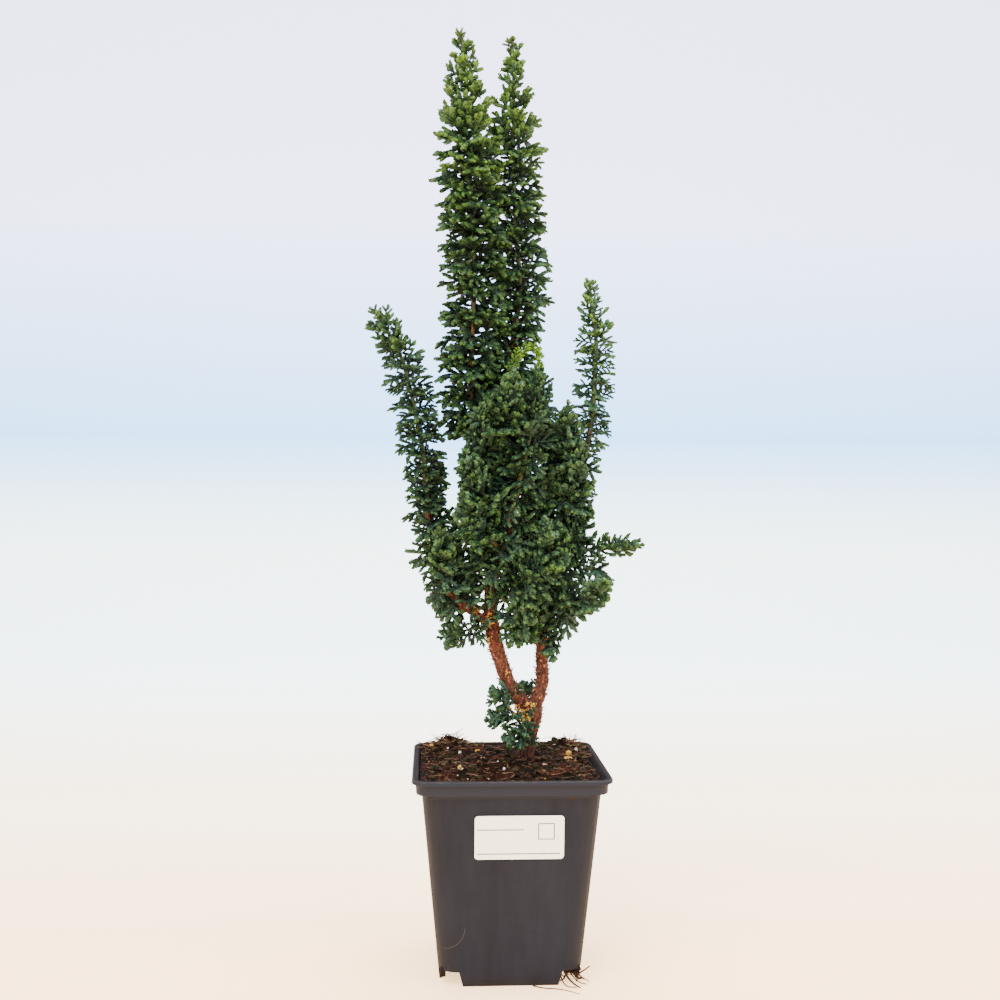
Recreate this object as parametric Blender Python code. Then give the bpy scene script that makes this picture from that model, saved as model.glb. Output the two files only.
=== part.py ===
"""A hinoki cypress bonsai growing in a square plastic nursery pot.

Lengths are in millimetres up to the last step, which turns each mesh into metres.
The origin is the middle of the pot at the level of the table. +Z is up, and the
label is on the front of the pot, towards -Y.
"""

import math
import random
from collections import namedtuple

import bmesh
import bpy
from mathutils import Matrix, Vector
from mathutils.bvhtree import BVHTree

METRES_PER_MM = 0.001
GAP = 0.3                     # between any two pieces that touch on the real object
SEED = 20
SMOOTH_ANGLE = math.radians(35)
FLAT_ANGLE = math.radians(0.1)

# Pot: outer sizes across the flats
POT_HEIGHT = 116.0
LIP_SIDE = 110.0
LIP_THICK = 2.4               # height of the flange round the top
RIM_WIDTH = 2.9               # of the flange's flat top
RIM_BEVEL = 0.7
RIM_FLARE = 0.5               # how far the inside steps out above its bevel
BAND_SIDE = 105.2
BAND_HEIGHT = 8.4             # from the top of the pot to the foot of the band
BAND_DRAFT = 0.3              # how much wider each side of the band is at its top
BAND_SLOPE = 1.0              # height of the slope under the band
LEDGE_RISE = 1.0              # where the inside starts to narrow, above the foot of the band
LEDGE_DROP = 3.5              # height over which it narrows
BODY_TOP_SIDE = 99.0          # just under the band
BODY_BASE_SIDE = 78.4
WALL = 1.6
LIP_CORNER = 9.0              # corner radii in plan
BAND_CORNER = 8.7
BODY_CORNER = 10.5
CORNER_SEGMENTS = 4
FLOOR_RISE = 7.5              # underside of the floor above the table
CORNER_NOTCH_FROM = 26.2      # half the width that each side's foot keeps on the table
CORNER_NOTCH_SLOPE = 2.3
CORNER_NOTCH_SPARE = 0.5      # how far the notch's cutter runs into the floor, and below the foot
DRAIN_RADIUS = 4.5
DRAIN_SIDES = 8
DRAIN_SPACING = 19.0

# Label on the front
LABEL_WIDTH = 50.0
LABEL_HEIGHT = 25.0
LABEL_CORNER = 2.0
LABEL_CORNER_STEPS = 3
LABEL_THICK = 0.5
LABEL_X = 3.3
LABEL_Z = 83.8

# Soil
SOIL_EDGE_LEVEL = 109.6
SOIL_CROWN = 7.5              # how far the soil rises from the walls to the trunk
SOIL_SHOULDER = 0.38           # share of the way in from the walls where the rise ends
SOIL_ROUGHNESS = 1.1
SOIL_CALM = 0.17               # share of the way in over which the roughness sets in
SOIL_MOUNDS = ((-34.0, 33.0, 8.0, 11.0), (39.0, 35.0, 6.5, 10.0), (-8.0, -20.0, 2.0, 12.0))
SOIL_RINGS = (0.14, 0.34, 0.55, 0.78)    # shares of the way from the walls to the trunk
SOIL_EXTRA_POINTS = 2          # along each straight side
TRUNK_HOLE_FLOOR = 96.7
TRUNK_HOLE_SPARE = 0.8         # the hole has few sides, so its corners stand further out

# Woody limbs: a route through hand-picked points, the radius at both ends, and how many sides
TRUNK = ((14.8, 6, 97), (14.8, 6, 119), (15.9, 6, 129), (15.8, 5, 138), (15.2, 5, 146))
TRUNK_RADII = (7.2, 5.4)
LEFT_LIMB = ((15.4, 5, 141), (13.4, 4.6, 146.5), (5.2, 3, 153.6), (-2.8, 2, 171.9), (-9.5, 2, 196.5),
             (-9.9, 3, 213.5), (-12.6, 3, 255.8), (-15.7, 3, 285), (-18.6, 2, 304))
RIGHT_LIMB = ((15.6, 5, 141), (16.8, 5.6, 147.5), (20.6, 8, 159.4), (20.6, 9, 176), (21.3, 9, 204),
              (26.3, 10, 238.1), (39.4, 12, 273.7), (46.2, 12, 294))
FAR_LEFT_LIMB = ((-8.9, 2, 192), (-17.3, 0, 200), (-24.8, -2, 205), (-34.1, -4, 215.4),
                 (-41.1, -4, 229.8), (-47.1, -2, 258.6))
MIDDLE_LIMB = ((-12.6, 3, 256), (-12.4, 5, 272), (-11, 6.5, 291), (-8.4, 8.5, 306))
FRONT_LIMB = ((-9.9, 2.6, 207), (-7.5, -6, 224), (-1.5, -11, 246), (1.6, -13.4, 262))
TWIG_LIMB = ((24.0, 9.6, 226), (27.6, 6.6, 231.6), (30.5, 5.4, 233.4))

WOODY_LIMBS = {
    "trunk": (TRUNK, TRUNK_RADII, 8),
    "left": (LEFT_LIMB, (4.4, 2.2), 6),
    "right": (RIGHT_LIMB, (3.4, 2.1), 6),
    "far_left": (FAR_LEFT_LIMB, (2.6, 1.9), 5),
    "middle": (MIDDLE_LIMB, (2.2, 1.9), 5),
    "front": (FRONT_LIMB, (2.4, 1.9), 5),
    "twig": (TWIG_LIMB, (1.9, 1.7), 5),
}
LIMB_STEP = 16.0

# Routes of the leafy leaders, which go on from the limbs
LEFT_SPIRE = ((-18.6, 2, 304), (-22.4, 2, 325.8), (-22.6, 1.4, 345), (-21.1, 0, 395.4), (-22.6, 0, 441.9),
              (-26.4, 0, 484), (-26.5, 0, 510), (-29, 0, 529))
MIDDLE_SPIRE = ((-8.4, 8.5, 306), (-1.2, 12, 344), (5.5, 12, 380.8), (6.2, 12, 402), (2.8, 12, 445.3),
                (2.2, 12, 489.8), (2.1, 11, 510), (1.2, 10, 530))
RIGHT_SPIRE = ((46.2, 12, 294), (49.6, 12, 319.6), (49.6, 12, 342), (51.4, 12, 366), (48.4, 12, 389))
FAR_LEFT_SPIRE = ((-47.1, -2, 258.6), (-48.9, -0.5, 284.7), (-52.6, 0, 307.9), (-58.8, 0, 335.7),
                  (-65.2, 0, 355), (-73.6, 0, 370))
FRONT_SPIRE = ((1.6, -13.4, 262), (6.2, -18, 284.6), (10.8, -21, 310), (13.2, -22, 334), (14.6, -21.4, 348),
               (18.2, -20, 351))
RIGHT_TWIG = ((30.5, 5.4, 233.4), (42, 2, 237.6), (54, 0, 240.2), (69, -2, 240.8))

LEADER_RADIUS = 1.8
LEADER_STRAIGHT = 4.0              # a leader first goes straight on from its limb's flat end

# Short leafy shoots low on the wood: the limb, the height of the root, then the route to its tip
LOW_SHOOTS = {
    "low_left_shoot": ("left", 189.0, ((-19, -3, 190.5), (-29, -4, 186.5))),
    "low_right_shoot": ("right", 193.0, ((25.5, 1, 190), (26.5, -4, 184.5))),
    "fork_shoot": ("right", 156.0, ((14.5, 14, 160), (10.5, 17, 168))),
    "left_base_shoot": ("trunk", 137.0, ((5, 1, 140), (-1.5, -1, 142.5))),
    "left_fork_shoot": ("left", 157.0, ((-3, -1, 157), (-6, -3, 160.5))),
    "front_base_shoot": ("trunk", 124.0, ((11.5, -4.5, 128), (6.5, -8, 131))),
}

# Side shoots that fill the bush, spaced up each limb: lowest and highest root, how many
BUSH_LIMBS = {
    "left": (202.0, 298.0, 9),
    "right": (203.0, 288.0, 9),
    "far_left": (203.0, 250.0, 3),
    "middle": (276.0, 300.0, 2),
    "front": (222.0, 256.0, 3),
}
BUSH_CENTRE = (3.0, 0.0)
BUSH_LOW = 200.0
BUSH_ROOTS_HIGH = 300.0
BUSH_HIGH = 350.0
BUSH_HALF_WIDTHS = (52.0, 42.0)    # where shoots may end, at the foot and the top of the bush
BUSH_HALF_DEPTHS = (36.0, 22.0)
SHOOT_REACH = (9.0, 40.0)
SHOOT_CLIMB = (12.0, 46.0)         # lowest and highest shoots' rise from root to tip
SHOOT_CURVE = ((0.42, 0.26), (0.76, 0.6), (1.0, 1.0))    # shares of the reach and of the climb
SHOOT_STUB = 3.0
SHOOT_STRAIGHT = 2.0
SHOOT_RADIUS = 1.6
SHOOT_SPRAYS = (24.0, 18.0)        # lengths of its sprays, far from its tip and at it
BUSH_CORES = (9.5, 8.0, 6.5, 5.0, 3.5)  # the fullest core that has room is used
LOW_CORE = 3.0
GOLDEN_ANGLE = math.radians(137.5)

# Each leafy stem thickens into a slim ragged core of packed leaf, which the sprays stand out of
CORE_STEP = 13.0
CORE_SIDES = 5
CORE_SWELLS = (3.0, 17.0)          # distances from the root where it starts and ends to thicken
CORE_TIP = 2.1                     # its radius at the tip
CORE_TAPER = 0.3                   # share of its length that narrows towards the tip
CORE_RAGGED = 0.28
ROOT_SUNK = 2.5

# Sprays: one flat fan of blunt branchlets
SPRAY_SPACING = 10.8
FIRST_SPRAY = 5.0                  # from a shoot's tip, and the last one from its root
TIP_SPRAY_SUNK = 2.0
FULL_SPRAY_FROM = 50.0             # sprays shorten over this distance from the tip
SPRAY_ROLL = 50.0                  # degrees either way about its own length
SPRAY_LEAN = 7.0
SPRAY_ANGLES = (56, 38, 22)        # degrees from the stem: the usual one, then bent clear
TIP_ANGLES = (4, 20, 36)           # the same for the spray at a shoot's tip
SHORTENED = (1.0, 0.85, 0.7)       # a spray that is bent clear is shorter too
SPRAY_ARCH = math.radians(34)      # how far a spray curves up along its length
SPRAY_SWAY = 0.12                  # radians either way, at each joint
RACHIS_WIDTH = 2.8
RACHIS_THICK = 1.6
RACHIS_TAPER = (0.95, 0.93)        # width and thickness from one joint to the next
STALK = 0.2                        # lengths below are shares of the spray's length
PAIRED_STRETCH = 0.54
END_BRANCHLET = 0.3
END_FLARE = 1.3                    # how much wider the end branchlet gets
BRANCHLET_LIFT = 0.22
BRANCHLET_VARIES = 0.15
BRANCHLET_ANGLES = (62.0, 46.0)    # degrees from the rachis, for the pairs from root to tip
BRANCHLET_LENGTHS = (0.4, 0.36)
BRANCHLET_TAPER = 0.68
DEPTH_LIMIT = 53.0                 # foliage stays over the pot from front to back
SHIFTS = (0, 14, -14, 28, -28, 44, -44, 62, -62)    # degrees that a spray may be turned clear
TURNS = (0, 20, -20, 40, -40, 60, -60, 85, -85, 110, -110)    # the same for a whole shoot

PLASTIC = ("pot_plastic", (0.034, 0.037, 0.042), 0.5)
PEAT = ("peat", (0.045, 0.024, 0.015), 0.95)
BARK = ("bark", (0.19, 0.075, 0.038), 0.9)
LEAF = ("leaf", (0.02, 0.075, 0.03), 0.6)
FRESH_LEAF = ("fresh_leaf", (0.05, 0.14, 0.03), 0.6)
STICKER = ("sticker", (0.82, 0.82, 0.84), 0.45)
PERLITE = ("perlite", (0.72, 0.69, 0.62), 0.9)
FERTILISER = ("fertiliser", (0.55, 0.27, 0.06), 0.85)

# Leafy leaders: the limb, the route, the core's radius, the sprays' lengths far from the tip and at it
LEADERS = {
    "left_spire": ("left", LEFT_SPIRE, 8.0, (20.0, 14.0), FRESH_LEAF),
    "middle_spire": ("middle", MIDDLE_SPIRE, 8.0, (20.0, 14.0), FRESH_LEAF),
    "right_spire": ("right", RIGHT_SPIRE, 4.5, (15.0, 12.0), FRESH_LEAF),
    "far_left_spire": ("far_left", FAR_LEFT_SPIRE, 5.5, (15.0, 12.0), FRESH_LEAF),
    "front_spire": ("front", FRONT_SPIRE, 6.0, (17.0, 13.0), FRESH_LEAF),
    "right_twig": ("twig", RIGHT_TWIG, 3.5, (14.0, 12.0), LEAF),
}

# Things that lie loose on the soil: where, their sizes and finish
SOIL_TOP = {
    "fertiliser_pellet": ((37.0, 10.0), (6.4, 5.6, 5.0), FERTILISER),
    "perlite_left": ((-38.0, 4.0), (3.6, 3.0, 2.8), PERLITE),
    "perlite_front": ((-4.0, -34.0), (3.2, 2.8, 2.6), PERLITE),
    "wood_chip": ((19.0, -22.0), (9.0, 4.2, 2.4), BARK),
}
GRAIN_ROUGH = 0.18
DROP_FROM = 60.0                   # above the pot

Taken = namedtuple("Taken", "owner low high tree")


def clear_scene():
    """Remove what the file opened with."""
    for thing in list(bpy.data.objects):
        bpy.data.objects.remove(thing, do_unlink=True)


def material(finish):
    """Return the material for a finish, made once."""
    name, colour, roughness = finish
    found = bpy.data.materials.get(name)
    if found:
        return found
    made = bpy.data.materials.new(name)
    made.use_nodes = True
    shader = made.node_tree.nodes["Principled BSDF"]
    shader.inputs["Base Color"].default_value = (*colour, 1.0)
    shader.inputs["Roughness"].default_value = roughness
    shader.inputs["Metallic"].default_value = 0.0
    return made


def mesh_from(bm, name):
    """Write a bmesh in millimetres to a new mesh of triangles that point out, and free it."""
    bmesh.ops.triangulate(bm, faces=bm.faces)
    bmesh.ops.recalc_face_normals(bm, faces=bm.faces)
    if bm.calc_volume(signed=True) < 0:
        bmesh.ops.reverse_faces(bm, faces=bm.faces)
    mesh = bpy.data.meshes.new(name)
    bm.to_mesh(mesh)
    bm.free()
    return mesh


def add_node(name, mesh, finish):
    """Turn a mesh in millimetres into a named, finished object in metres."""
    mesh.transform(Matrix.Scale(METRES_PER_MM, 4))
    mesh.materials.clear()
    mesh.materials.append(material(finish))
    mesh.shade_smooth()
    mesh.set_sharp_from_angle(angle=SMOOTH_ANGLE)
    node = bpy.data.objects.new(name, mesh)
    bpy.context.scene.collection.objects.link(node)
    return node


def largest_body(mesh):
    """Keep the largest connected body of a mesh, without loose scraps and sealed hollows."""
    bm = bmesh.new()
    bm.from_mesh(mesh)
    simplify(bm)
    left = set(bm.faces)
    bodies = []
    while left:
        front = [left.pop()]
        body = list(front)
        while front:
            face = front.pop()
            for edge in face.edges:
                for other in edge.link_faces:
                    if other in left:
                        left.remove(other)
                        front.append(other)
                        body.append(other)
        bodies.append(body)
    volumes = [sum(signed_volume(face) for face in body) for body in bodies]
    keep = bodies[volumes.index(max(volumes))]
    drop = [face for body in bodies if body is not keep for face in body]
    bmesh.ops.delete(bm, geom=drop, context="FACES")
    bm.to_mesh(mesh)
    bm.free()


def signed_volume(face):
    """Volume between a triangle and the origin, negative where the triangle faces it."""
    first, second, third = (vert.co for vert in face.verts)
    return first.dot(second.cross(third)) / 6.0


def combined(meshes, operation):
    """Join the other meshes to the first, or cut them from it, with one Boolean."""
    base = bpy.data.objects.new("base", meshes[0])
    bpy.context.scene.collection.objects.link(base)
    repeats = bpy.data.collections.new("repeats")
    bpy.context.scene.collection.children.link(repeats)
    for mesh in meshes[1:]:
        repeats.objects.link(bpy.data.objects.new("repeat", mesh))
    boolean = base.modifiers.new("combine", "BOOLEAN")
    boolean.operation = operation
    boolean.solver = "MANIFOLD"
    boolean.operand_type = "COLLECTION"
    boolean.collection = repeats
    view = bpy.context.evaluated_depsgraph_get()
    result = bpy.data.meshes.new_from_object(base.evaluated_get(view))
    for thing in list(repeats.objects) + [base]:
        bpy.data.objects.remove(thing, do_unlink=True)
    bpy.data.collections.remove(repeats)
    largest_body(result)
    return result


def simplify(bm):
    """Merge faces that lie in one plane, so that a cut leaves no needless triangles."""
    bmesh.ops.dissolve_limit(bm, angle_limit=FLAT_ANGLE, verts=bm.verts, edges=bm.edges)
    bmesh.ops.triangulate(bm, faces=bm.faces)


# Routes and tubes

def smooth_route(points, step):
    """Return points about a step apart on a smooth curve through the given ones."""
    knots = [Vector(point) for point in points]
    knots = [knots[0] * 2 - knots[1]] + knots + [knots[-1] * 2 - knots[-2]]
    route = []
    for before, start, end, after in zip(knots, knots[1:], knots[2:], knots[3:]):
        count = max(1, round((end - start).length / step))
        for index in range(count):
            part = index / count
            route.append(0.5 * (2 * start + (end - before) * part
                                + (2 * before - 5 * start + 4 * end - after) * part ** 2
                                + (3 * start - before - 3 * end + after) * part ** 3))
    return route + [knots[-2]]


def frames_along(route):
    """Return a frame at each point of a route, its Z axis along the route, with no twist."""
    turn = (route[1] - route[0]).to_track_quat("Z", "Y")
    frames = []
    for index, point in enumerate(route):
        ahead = route[min(index + 1, len(route) - 1)] - route[max(index - 1, 0)]
        turn = (turn @ Vector((0, 0, 1))).rotation_difference(ahead) @ turn
        frames.append(Matrix.Translation(point) @ turn.to_matrix().to_4x4())
    return frames


def extrude_by(bm, face, change):
    """Extrude one face, move the new face by a matrix and return it."""
    grown = bmesh.ops.extrude_face_region(bm, geom=[face])["geom"]
    corners = [item for item in grown if isinstance(item, bmesh.types.BMVert)]
    bmesh.ops.transform(bm, matrix=change, verts=corners)
    if all(len(edge.link_faces) > 2 for edge in face.edges):
        bmesh.ops.delete(bm, geom=[face], context="FACES_ONLY")
    return next(item for item in grown if isinstance(item, bmesh.types.BMFace))


def sweep(route, widths, sides):
    """Sweep a polygon along a route, with a radius for each point and flat ends."""
    frames = frames_along(route)
    bm = bmesh.new()
    ring = bmesh.ops.create_circle(bm, cap_ends=True, radius=widths[0], segments=sides, matrix=frames[0])
    end = ring["verts"][0].link_faces[0]
    for index in range(1, len(route)):
        scale = widths[index] / widths[index - 1]
        change = frames[index] @ Matrix.Diagonal((scale, scale, 1, 1)) @ frames[index - 1].inverted()
        end = extrude_by(bm, end, change)
    return bm


def tube(route, radii, sides):
    """Sweep a polygon along a route, tapering evenly."""
    last = len(route) - 1
    return sweep(route, [radii[0] + (radii[1] - radii[0]) * index / last for index in range(last + 1)], sides)


def at_height(route, height):
    """Return the point where a rising route reaches a height, and its direction there."""
    for start, end in zip(route, route[1:]):
        if start.z <= height <= end.z:
            part = (height - start.z) / max(end.z - start.z, 1e-6)
            return start.lerp(end, part), (end - start).normalized()
    return route[-1], (route[-1] - route[-2]).normalized()


# Room that is already taken

def taken_by(owner, bm):
    """Note the room that a mesh fills, under its owner's name."""
    low = Vector([min(vert.co[axis] for vert in bm.verts) for axis in range(3)])
    high = Vector([max(vert.co[axis] for vert in bm.verts) for axis in range(3)])
    return Taken(owner, low, high, BVHTree.FromBMesh(bm))


def crosses(new, others, skip):
    """Say whether new room crosses any room that isn't one of the owners to skip."""
    for other in others:
        if other.owner in skip:
            continue
        apart = any(new.low[axis] > other.high[axis] or new.high[axis] < other.low[axis] for axis in range(3))
        if not apart and new.tree.overlap(other.tree):
            return True
    return False


# Pot, label and soil

def rounded_square(half, corner, height, extra=0):
    """Return points round a square with rounded corners, anticlockwise from above."""
    points = []
    centre = half - corner
    for quarter in range(4):
        turn = math.radians(90 * quarter)
        for index in range(CORNER_SEGMENTS + 1):
            angle = turn + math.radians(90) * index / CORNER_SEGMENTS
            x = centre * math.sqrt(2) * math.cos(turn + math.radians(45)) + corner * math.cos(angle)
            y = centre * math.sqrt(2) * math.sin(turn + math.radians(45)) + corner * math.sin(angle)
            points.append(Vector((x, y, height)))
        start = points[-1]
        along = Matrix.Rotation(turn + math.radians(90), 3, "Z") @ Vector((0, 2 * centre, 0))
        points += [start + along * step / (extra + 1) for step in range(1, extra + 1)]
    return points


def loft(rings):
    """Join rings of points in order with quads and close both ends."""
    bm = bmesh.new()
    loops = [[bm.verts.new(point) for point in ring] for ring in rings]
    for lower, upper in zip(loops, loops[1:]):
        for index, vert in enumerate(lower):
            following = (index + 1) % len(lower)
            bm.faces.new((vert, lower[following], upper[following], upper[index]))
    bm.faces.new(loops[0])
    bm.faces.new(loops[-1])
    return bm


def wall_half(height):
    """Half the body's outer width at a height."""
    under_band = POT_HEIGHT - BAND_HEIGHT
    return (BODY_BASE_SIDE + (BODY_TOP_SIDE - BODY_BASE_SIDE) * height / under_band) / 2


def inner_profile():
    """Heights, half widths and corner radii of the pot's inside, from its top to its floor."""
    ledge_top = POT_HEIGHT - BAND_HEIGHT + LEDGE_RISE
    ledge_foot = ledge_top - LEDGE_DROP
    floor = FLOOR_RISE + WALL
    return ((POT_HEIGHT - RIM_BEVEL, LIP_SIDE / 2 - RIM_WIDTH - RIM_FLARE, LIP_CORNER - RIM_WIDTH),
            (ledge_top, BAND_SIDE / 2 - WALL, LIP_CORNER - RIM_WIDTH),
            (ledge_foot, wall_half(ledge_foot) - WALL, BODY_CORNER - WALL),
            (floor, wall_half(floor) - WALL, BODY_CORNER - WALL))


def foot_notch(x_sign, y_sign):
    """Cutter that takes the foot away at one corner, with sloping sides."""
    size = BODY_TOP_SIDE / 2
    bm = bmesh.new()
    bmesh.ops.create_cube(bm, size=1.0)
    for vert in bm.verts:
        top = vert.co.z > 0
        inner = CORNER_NOTCH_FROM + (CORNER_NOTCH_SLOPE if top else 0.0)
        for axis, sign in ((0, x_sign), (1, y_sign)):
            near = vert.co[axis] * sign < 0
            vert.co[axis] = sign * (inner if near else inner + size)
        vert.co.z = FLOOR_RISE + CORNER_NOTCH_SPARE if top else -CORNER_NOTCH_SPARE
    return mesh_from(bm, "notch")


def drain(x, y):
    """Cutter for one drain hole through the floor."""
    bm = bmesh.new()
    bmesh.ops.create_cone(bm, cap_ends=True, segments=DRAIN_SIDES, radius1=DRAIN_RADIUS,
                          radius2=DRAIN_RADIUS, depth=6 * WALL, matrix=Matrix.Translation((x, y, FLOOR_RISE)))
    return mesh_from(bm, "drain")


def make_pot():
    """Thin-walled tub with a stepped band and lip, feet between notched corners and drain holes."""
    top = POT_HEIGHT
    band_foot = top - BAND_HEIGHT
    lip = LIP_SIDE / 2
    band = BAND_SIDE / 2
    rings = [rounded_square(wall_half(FLOOR_RISE) - WALL, BODY_CORNER - WALL, FLOOR_RISE),
             rounded_square(wall_half(0) - WALL, BODY_CORNER - WALL, 0),
             rounded_square(wall_half(0), BODY_CORNER, 0),
             rounded_square(wall_half(band_foot), BODY_CORNER, band_foot - BAND_SLOPE),
             rounded_square(band, BAND_CORNER, band_foot),
             rounded_square(band + BAND_DRAFT, BAND_CORNER + BAND_DRAFT, top - LIP_THICK),
             rounded_square(lip, LIP_CORNER, top - LIP_THICK),
             rounded_square(lip, LIP_CORNER, top - RIM_BEVEL),
             rounded_square(lip - RIM_BEVEL, LIP_CORNER - RIM_BEVEL, top),
             rounded_square(lip - RIM_WIDTH, LIP_CORNER - RIM_WIDTH, top)]
    rings += [rounded_square(half, corner, height) for height, half, corner in inner_profile()]
    tub = mesh_from(loft(rings), "tub")
    cutters = [foot_notch(x_sign, y_sign) for x_sign in (-1, 1) for y_sign in (-1, 1)]
    cutters.append(drain(0, 0))
    cutters += [drain(x * DRAIN_SPACING, y * DRAIN_SPACING) for x in (-1, 1) for y in (-1, 1)]
    add_node("pot", combined([tub] + cutters, "DIFFERENCE"), PLASTIC)


def make_label():
    """Thin sticker with rounded corners, lying along the sloping front wall."""
    half_width = LABEL_WIDTH / 2 - LABEL_CORNER
    half_height = LABEL_HEIGHT / 2 - LABEL_CORNER
    bm = bmesh.new()
    for x, y, first in ((1, 1, 0), (-1, 1, 90), (-1, -1, 180), (1, -1, 270)):
        for index in range(LABEL_CORNER_STEPS + 1):
            angle = math.radians(first + 90 * index / LABEL_CORNER_STEPS)
            bm.verts.new((x * half_width + LABEL_CORNER * math.cos(angle),
                          y * half_height + LABEL_CORNER * math.sin(angle), 0))
    sheet = bm.faces.new(bm.verts)
    extrude_by(bm, sheet, Matrix.Translation((0, 0, LABEL_THICK)))
    under_band = POT_HEIGHT - BAND_HEIGHT
    lean = math.atan2((BODY_TOP_SIDE - BODY_BASE_SIDE) / 2, under_band)
    upright = Matrix.Rotation(math.radians(90) + lean, 4, "X")
    place = Matrix.Translation((LABEL_X, -wall_half(LABEL_Z), LABEL_Z)) @ upright
    bm.transform(place @ Matrix.Translation((0, 0, GAP)))
    add_node("label", mesh_from(bm, "label"), STICKER)


def soil_height(x, y, draw):
    """Height of the soil: low along the walls, crowned at the trunk, with mounds at the back."""
    half = BAND_SIDE / 2 - WALL
    inwards = 1.0 - max(abs(x), abs(y)) / half
    height = SOIL_EDGE_LEVEL + SOIL_CROWN * min(1.0, inwards / SOIL_SHOULDER)
    for mound_x, mound_y, rise, spread in SOIL_MOUNDS:
        away = math.hypot(x - mound_x, y - mound_y) / spread
        height += rise * math.exp(-away ** 2)
    return height + draw.uniform(-1, 1) * SOIL_ROUGHNESS * min(1.0, inwards / SOIL_CALM)


def soil_rings():
    """Rings of the soil block, up its side, in over its top and down the trunk's hole."""
    draw = random.Random(SEED)
    below_rim = inner_profile()[1:]
    rings = [rounded_square(half - GAP, corner - GAP, height + GAP, SOIL_EXTRA_POINTS)
             for height, half, corner in reversed(below_rim)]
    edge = rings[-1]
    count = len(edge)
    trunk_x, trunk_y = TRUNK[0][:2]
    hole = []
    for point in edge:
        angle = math.atan2(point.y - trunk_y, point.x - trunk_x)
        reach = TRUNK_RADII[0] + TRUNK_HOLE_SPARE
        hole.append(Vector((trunk_x + reach * math.cos(angle), trunk_y + reach * math.sin(angle), 0)))
    for part in SOIL_RINGS:
        ring = [edge[index].lerp(hole[index], part) for index in range(count)]
        rings.append([Vector((p.x, p.y, soil_height(p.x, p.y, draw))) for p in ring])
    mouth = SOIL_EDGE_LEVEL + SOIL_CROWN
    rings.append([Vector((p.x, p.y, mouth)) for p in hole])
    rings.append([Vector((p.x, p.y, TRUNK_HOLE_FLOOR)) for p in hole])
    return rings


def make_soil():
    """Block of peat that fills the pot, with an uneven top and a plain hole for the trunk."""
    bm = loft(soil_rings())
    bmesh.ops.triangulate(bm, faces=bm.faces)
    surface = BVHTree.FromBMesh(bm)
    add_node("soil", mesh_from(bm, "soil"), PEAT)
    return surface


def rest_on(surface, bm):
    """Lower or lift a small piece until its lowest reach lies a gap above the surface."""
    drops = []
    for vert in bm.verts:
        hit = surface.ray_cast(Vector((vert.co.x, vert.co.y, POT_HEIGHT + DROP_FROM)), Vector((0, 0, -1)))
        drops.append(vert.co.z - hit[0].z)
    bmesh.ops.translate(bm, verts=bm.verts, vec=(0, 0, GAP - min(drops)))


def make_grain(name, place, size, finish, surface, seed):
    """One rough grain lying on the soil."""
    draw = random.Random(seed)
    bm = bmesh.new()
    bmesh.ops.create_icosphere(bm, subdivisions=1, radius=0.5)
    for vert in bm.verts:
        vert.co *= draw.uniform(1 - GRAIN_ROUGH, 1)
    bmesh.ops.scale(bm, vec=size, verts=bm.verts)
    bmesh.ops.rotate(bm, cent=(0, 0, 0), matrix=Matrix.Rotation(draw.uniform(0, 3), 3, "Z"), verts=bm.verts)
    bmesh.ops.translate(bm, verts=bm.verts, vec=(*place, POT_HEIGHT))
    rest_on(surface, bm)
    add_node(name, mesh_from(bm, name), finish)


def make_soil_top(surface):
    """The larger things that lie loose on the soil."""
    for index, (name, (place, size, finish)) in enumerate(SOIL_TOP.items()):
        make_grain(name, place, size, finish, surface, SEED + index)


# Wood

Limb = namedtuple("Limb", "route radii sides")


def woody_limbs():
    """Every woody limb by name, with its smooth route."""
    return {name: Limb(smooth_route(points, LIMB_STEP), radii, sides)
            for name, (points, radii, sides) in WOODY_LIMBS.items()}


def limb_radius(limb, height):
    """Radius of a limb at a height, by its even taper."""
    low, high = limb.route[0].z, limb.route[-1].z
    part = min(1.0, max(0.0, (height - low) / (high - low)))
    return limb.radii[0] + (limb.radii[1] - limb.radii[0]) * part


def stub_and_start(limb, height, towards):
    """Flat-ended stub from a limb towards a shoot, and the point where the shoot's stem starts."""
    root, _ = at_height(limb.route, height)
    away = (towards - root).normalized()
    end = root + away * (limb_radius(limb, height) + SHOOT_STUB)
    stub = tube([root, end], (SHOOT_RADIUS, SHOOT_RADIUS), 4)
    return stub, end + away * GAP, away


# Sprays

def fan_placement(frame, azimuth, angle, roll):
    """Frame for a spray that leaves a stem: Z along the spray, Y out of its flat upper side."""
    lean = Matrix.Rotation(azimuth, 4, "Z") @ Matrix.Rotation(angle, 4, "Y")
    return frame @ lean @ Matrix.Rotation(roll, 4, "Z")


def side_faces(bm, end, middle):
    """The two faces on the flat sides of the last stretch, right one first."""
    inverse = middle.inverted()
    found = {}
    for edge in end.edges:
        for face in edge.link_faces:
            centre = inverse @ face.calc_center_median()
            if face is not end and abs(centre.x) > abs(centre.y):
                found[centre.x > 0] = face
    return found[True], found[False]


def thinned(grow):
    """How thick a branchlet's end is, as a share of the rachis: an edge, unless grown for spare room."""
    return 2 * grow / (RACHIS_THICK + 2 * grow)


def add_branchlet(bm, face, frame, side, angle, length, width, grow):
    """Draw one blunt branchlet out of a side face, narrowing to an edge."""
    centre = face.calc_center_median()
    turn = frame.to_3x3().normalized().to_4x4()
    out = turn @ Vector((side * math.sin(angle), BRANCHLET_LIFT, math.cos(angle)))
    swing = Matrix.Rotation(-side * (math.pi / 2 - angle), 4, "Y")
    shape = turn @ swing @ Matrix.Diagonal((1, thinned(grow), width, 1)) @ turn.inverted()
    move = Matrix.Translation(centre + out * (length + grow)) @ shape @ Matrix.Translation(-centre)
    extrude_by(bm, face, move)


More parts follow.
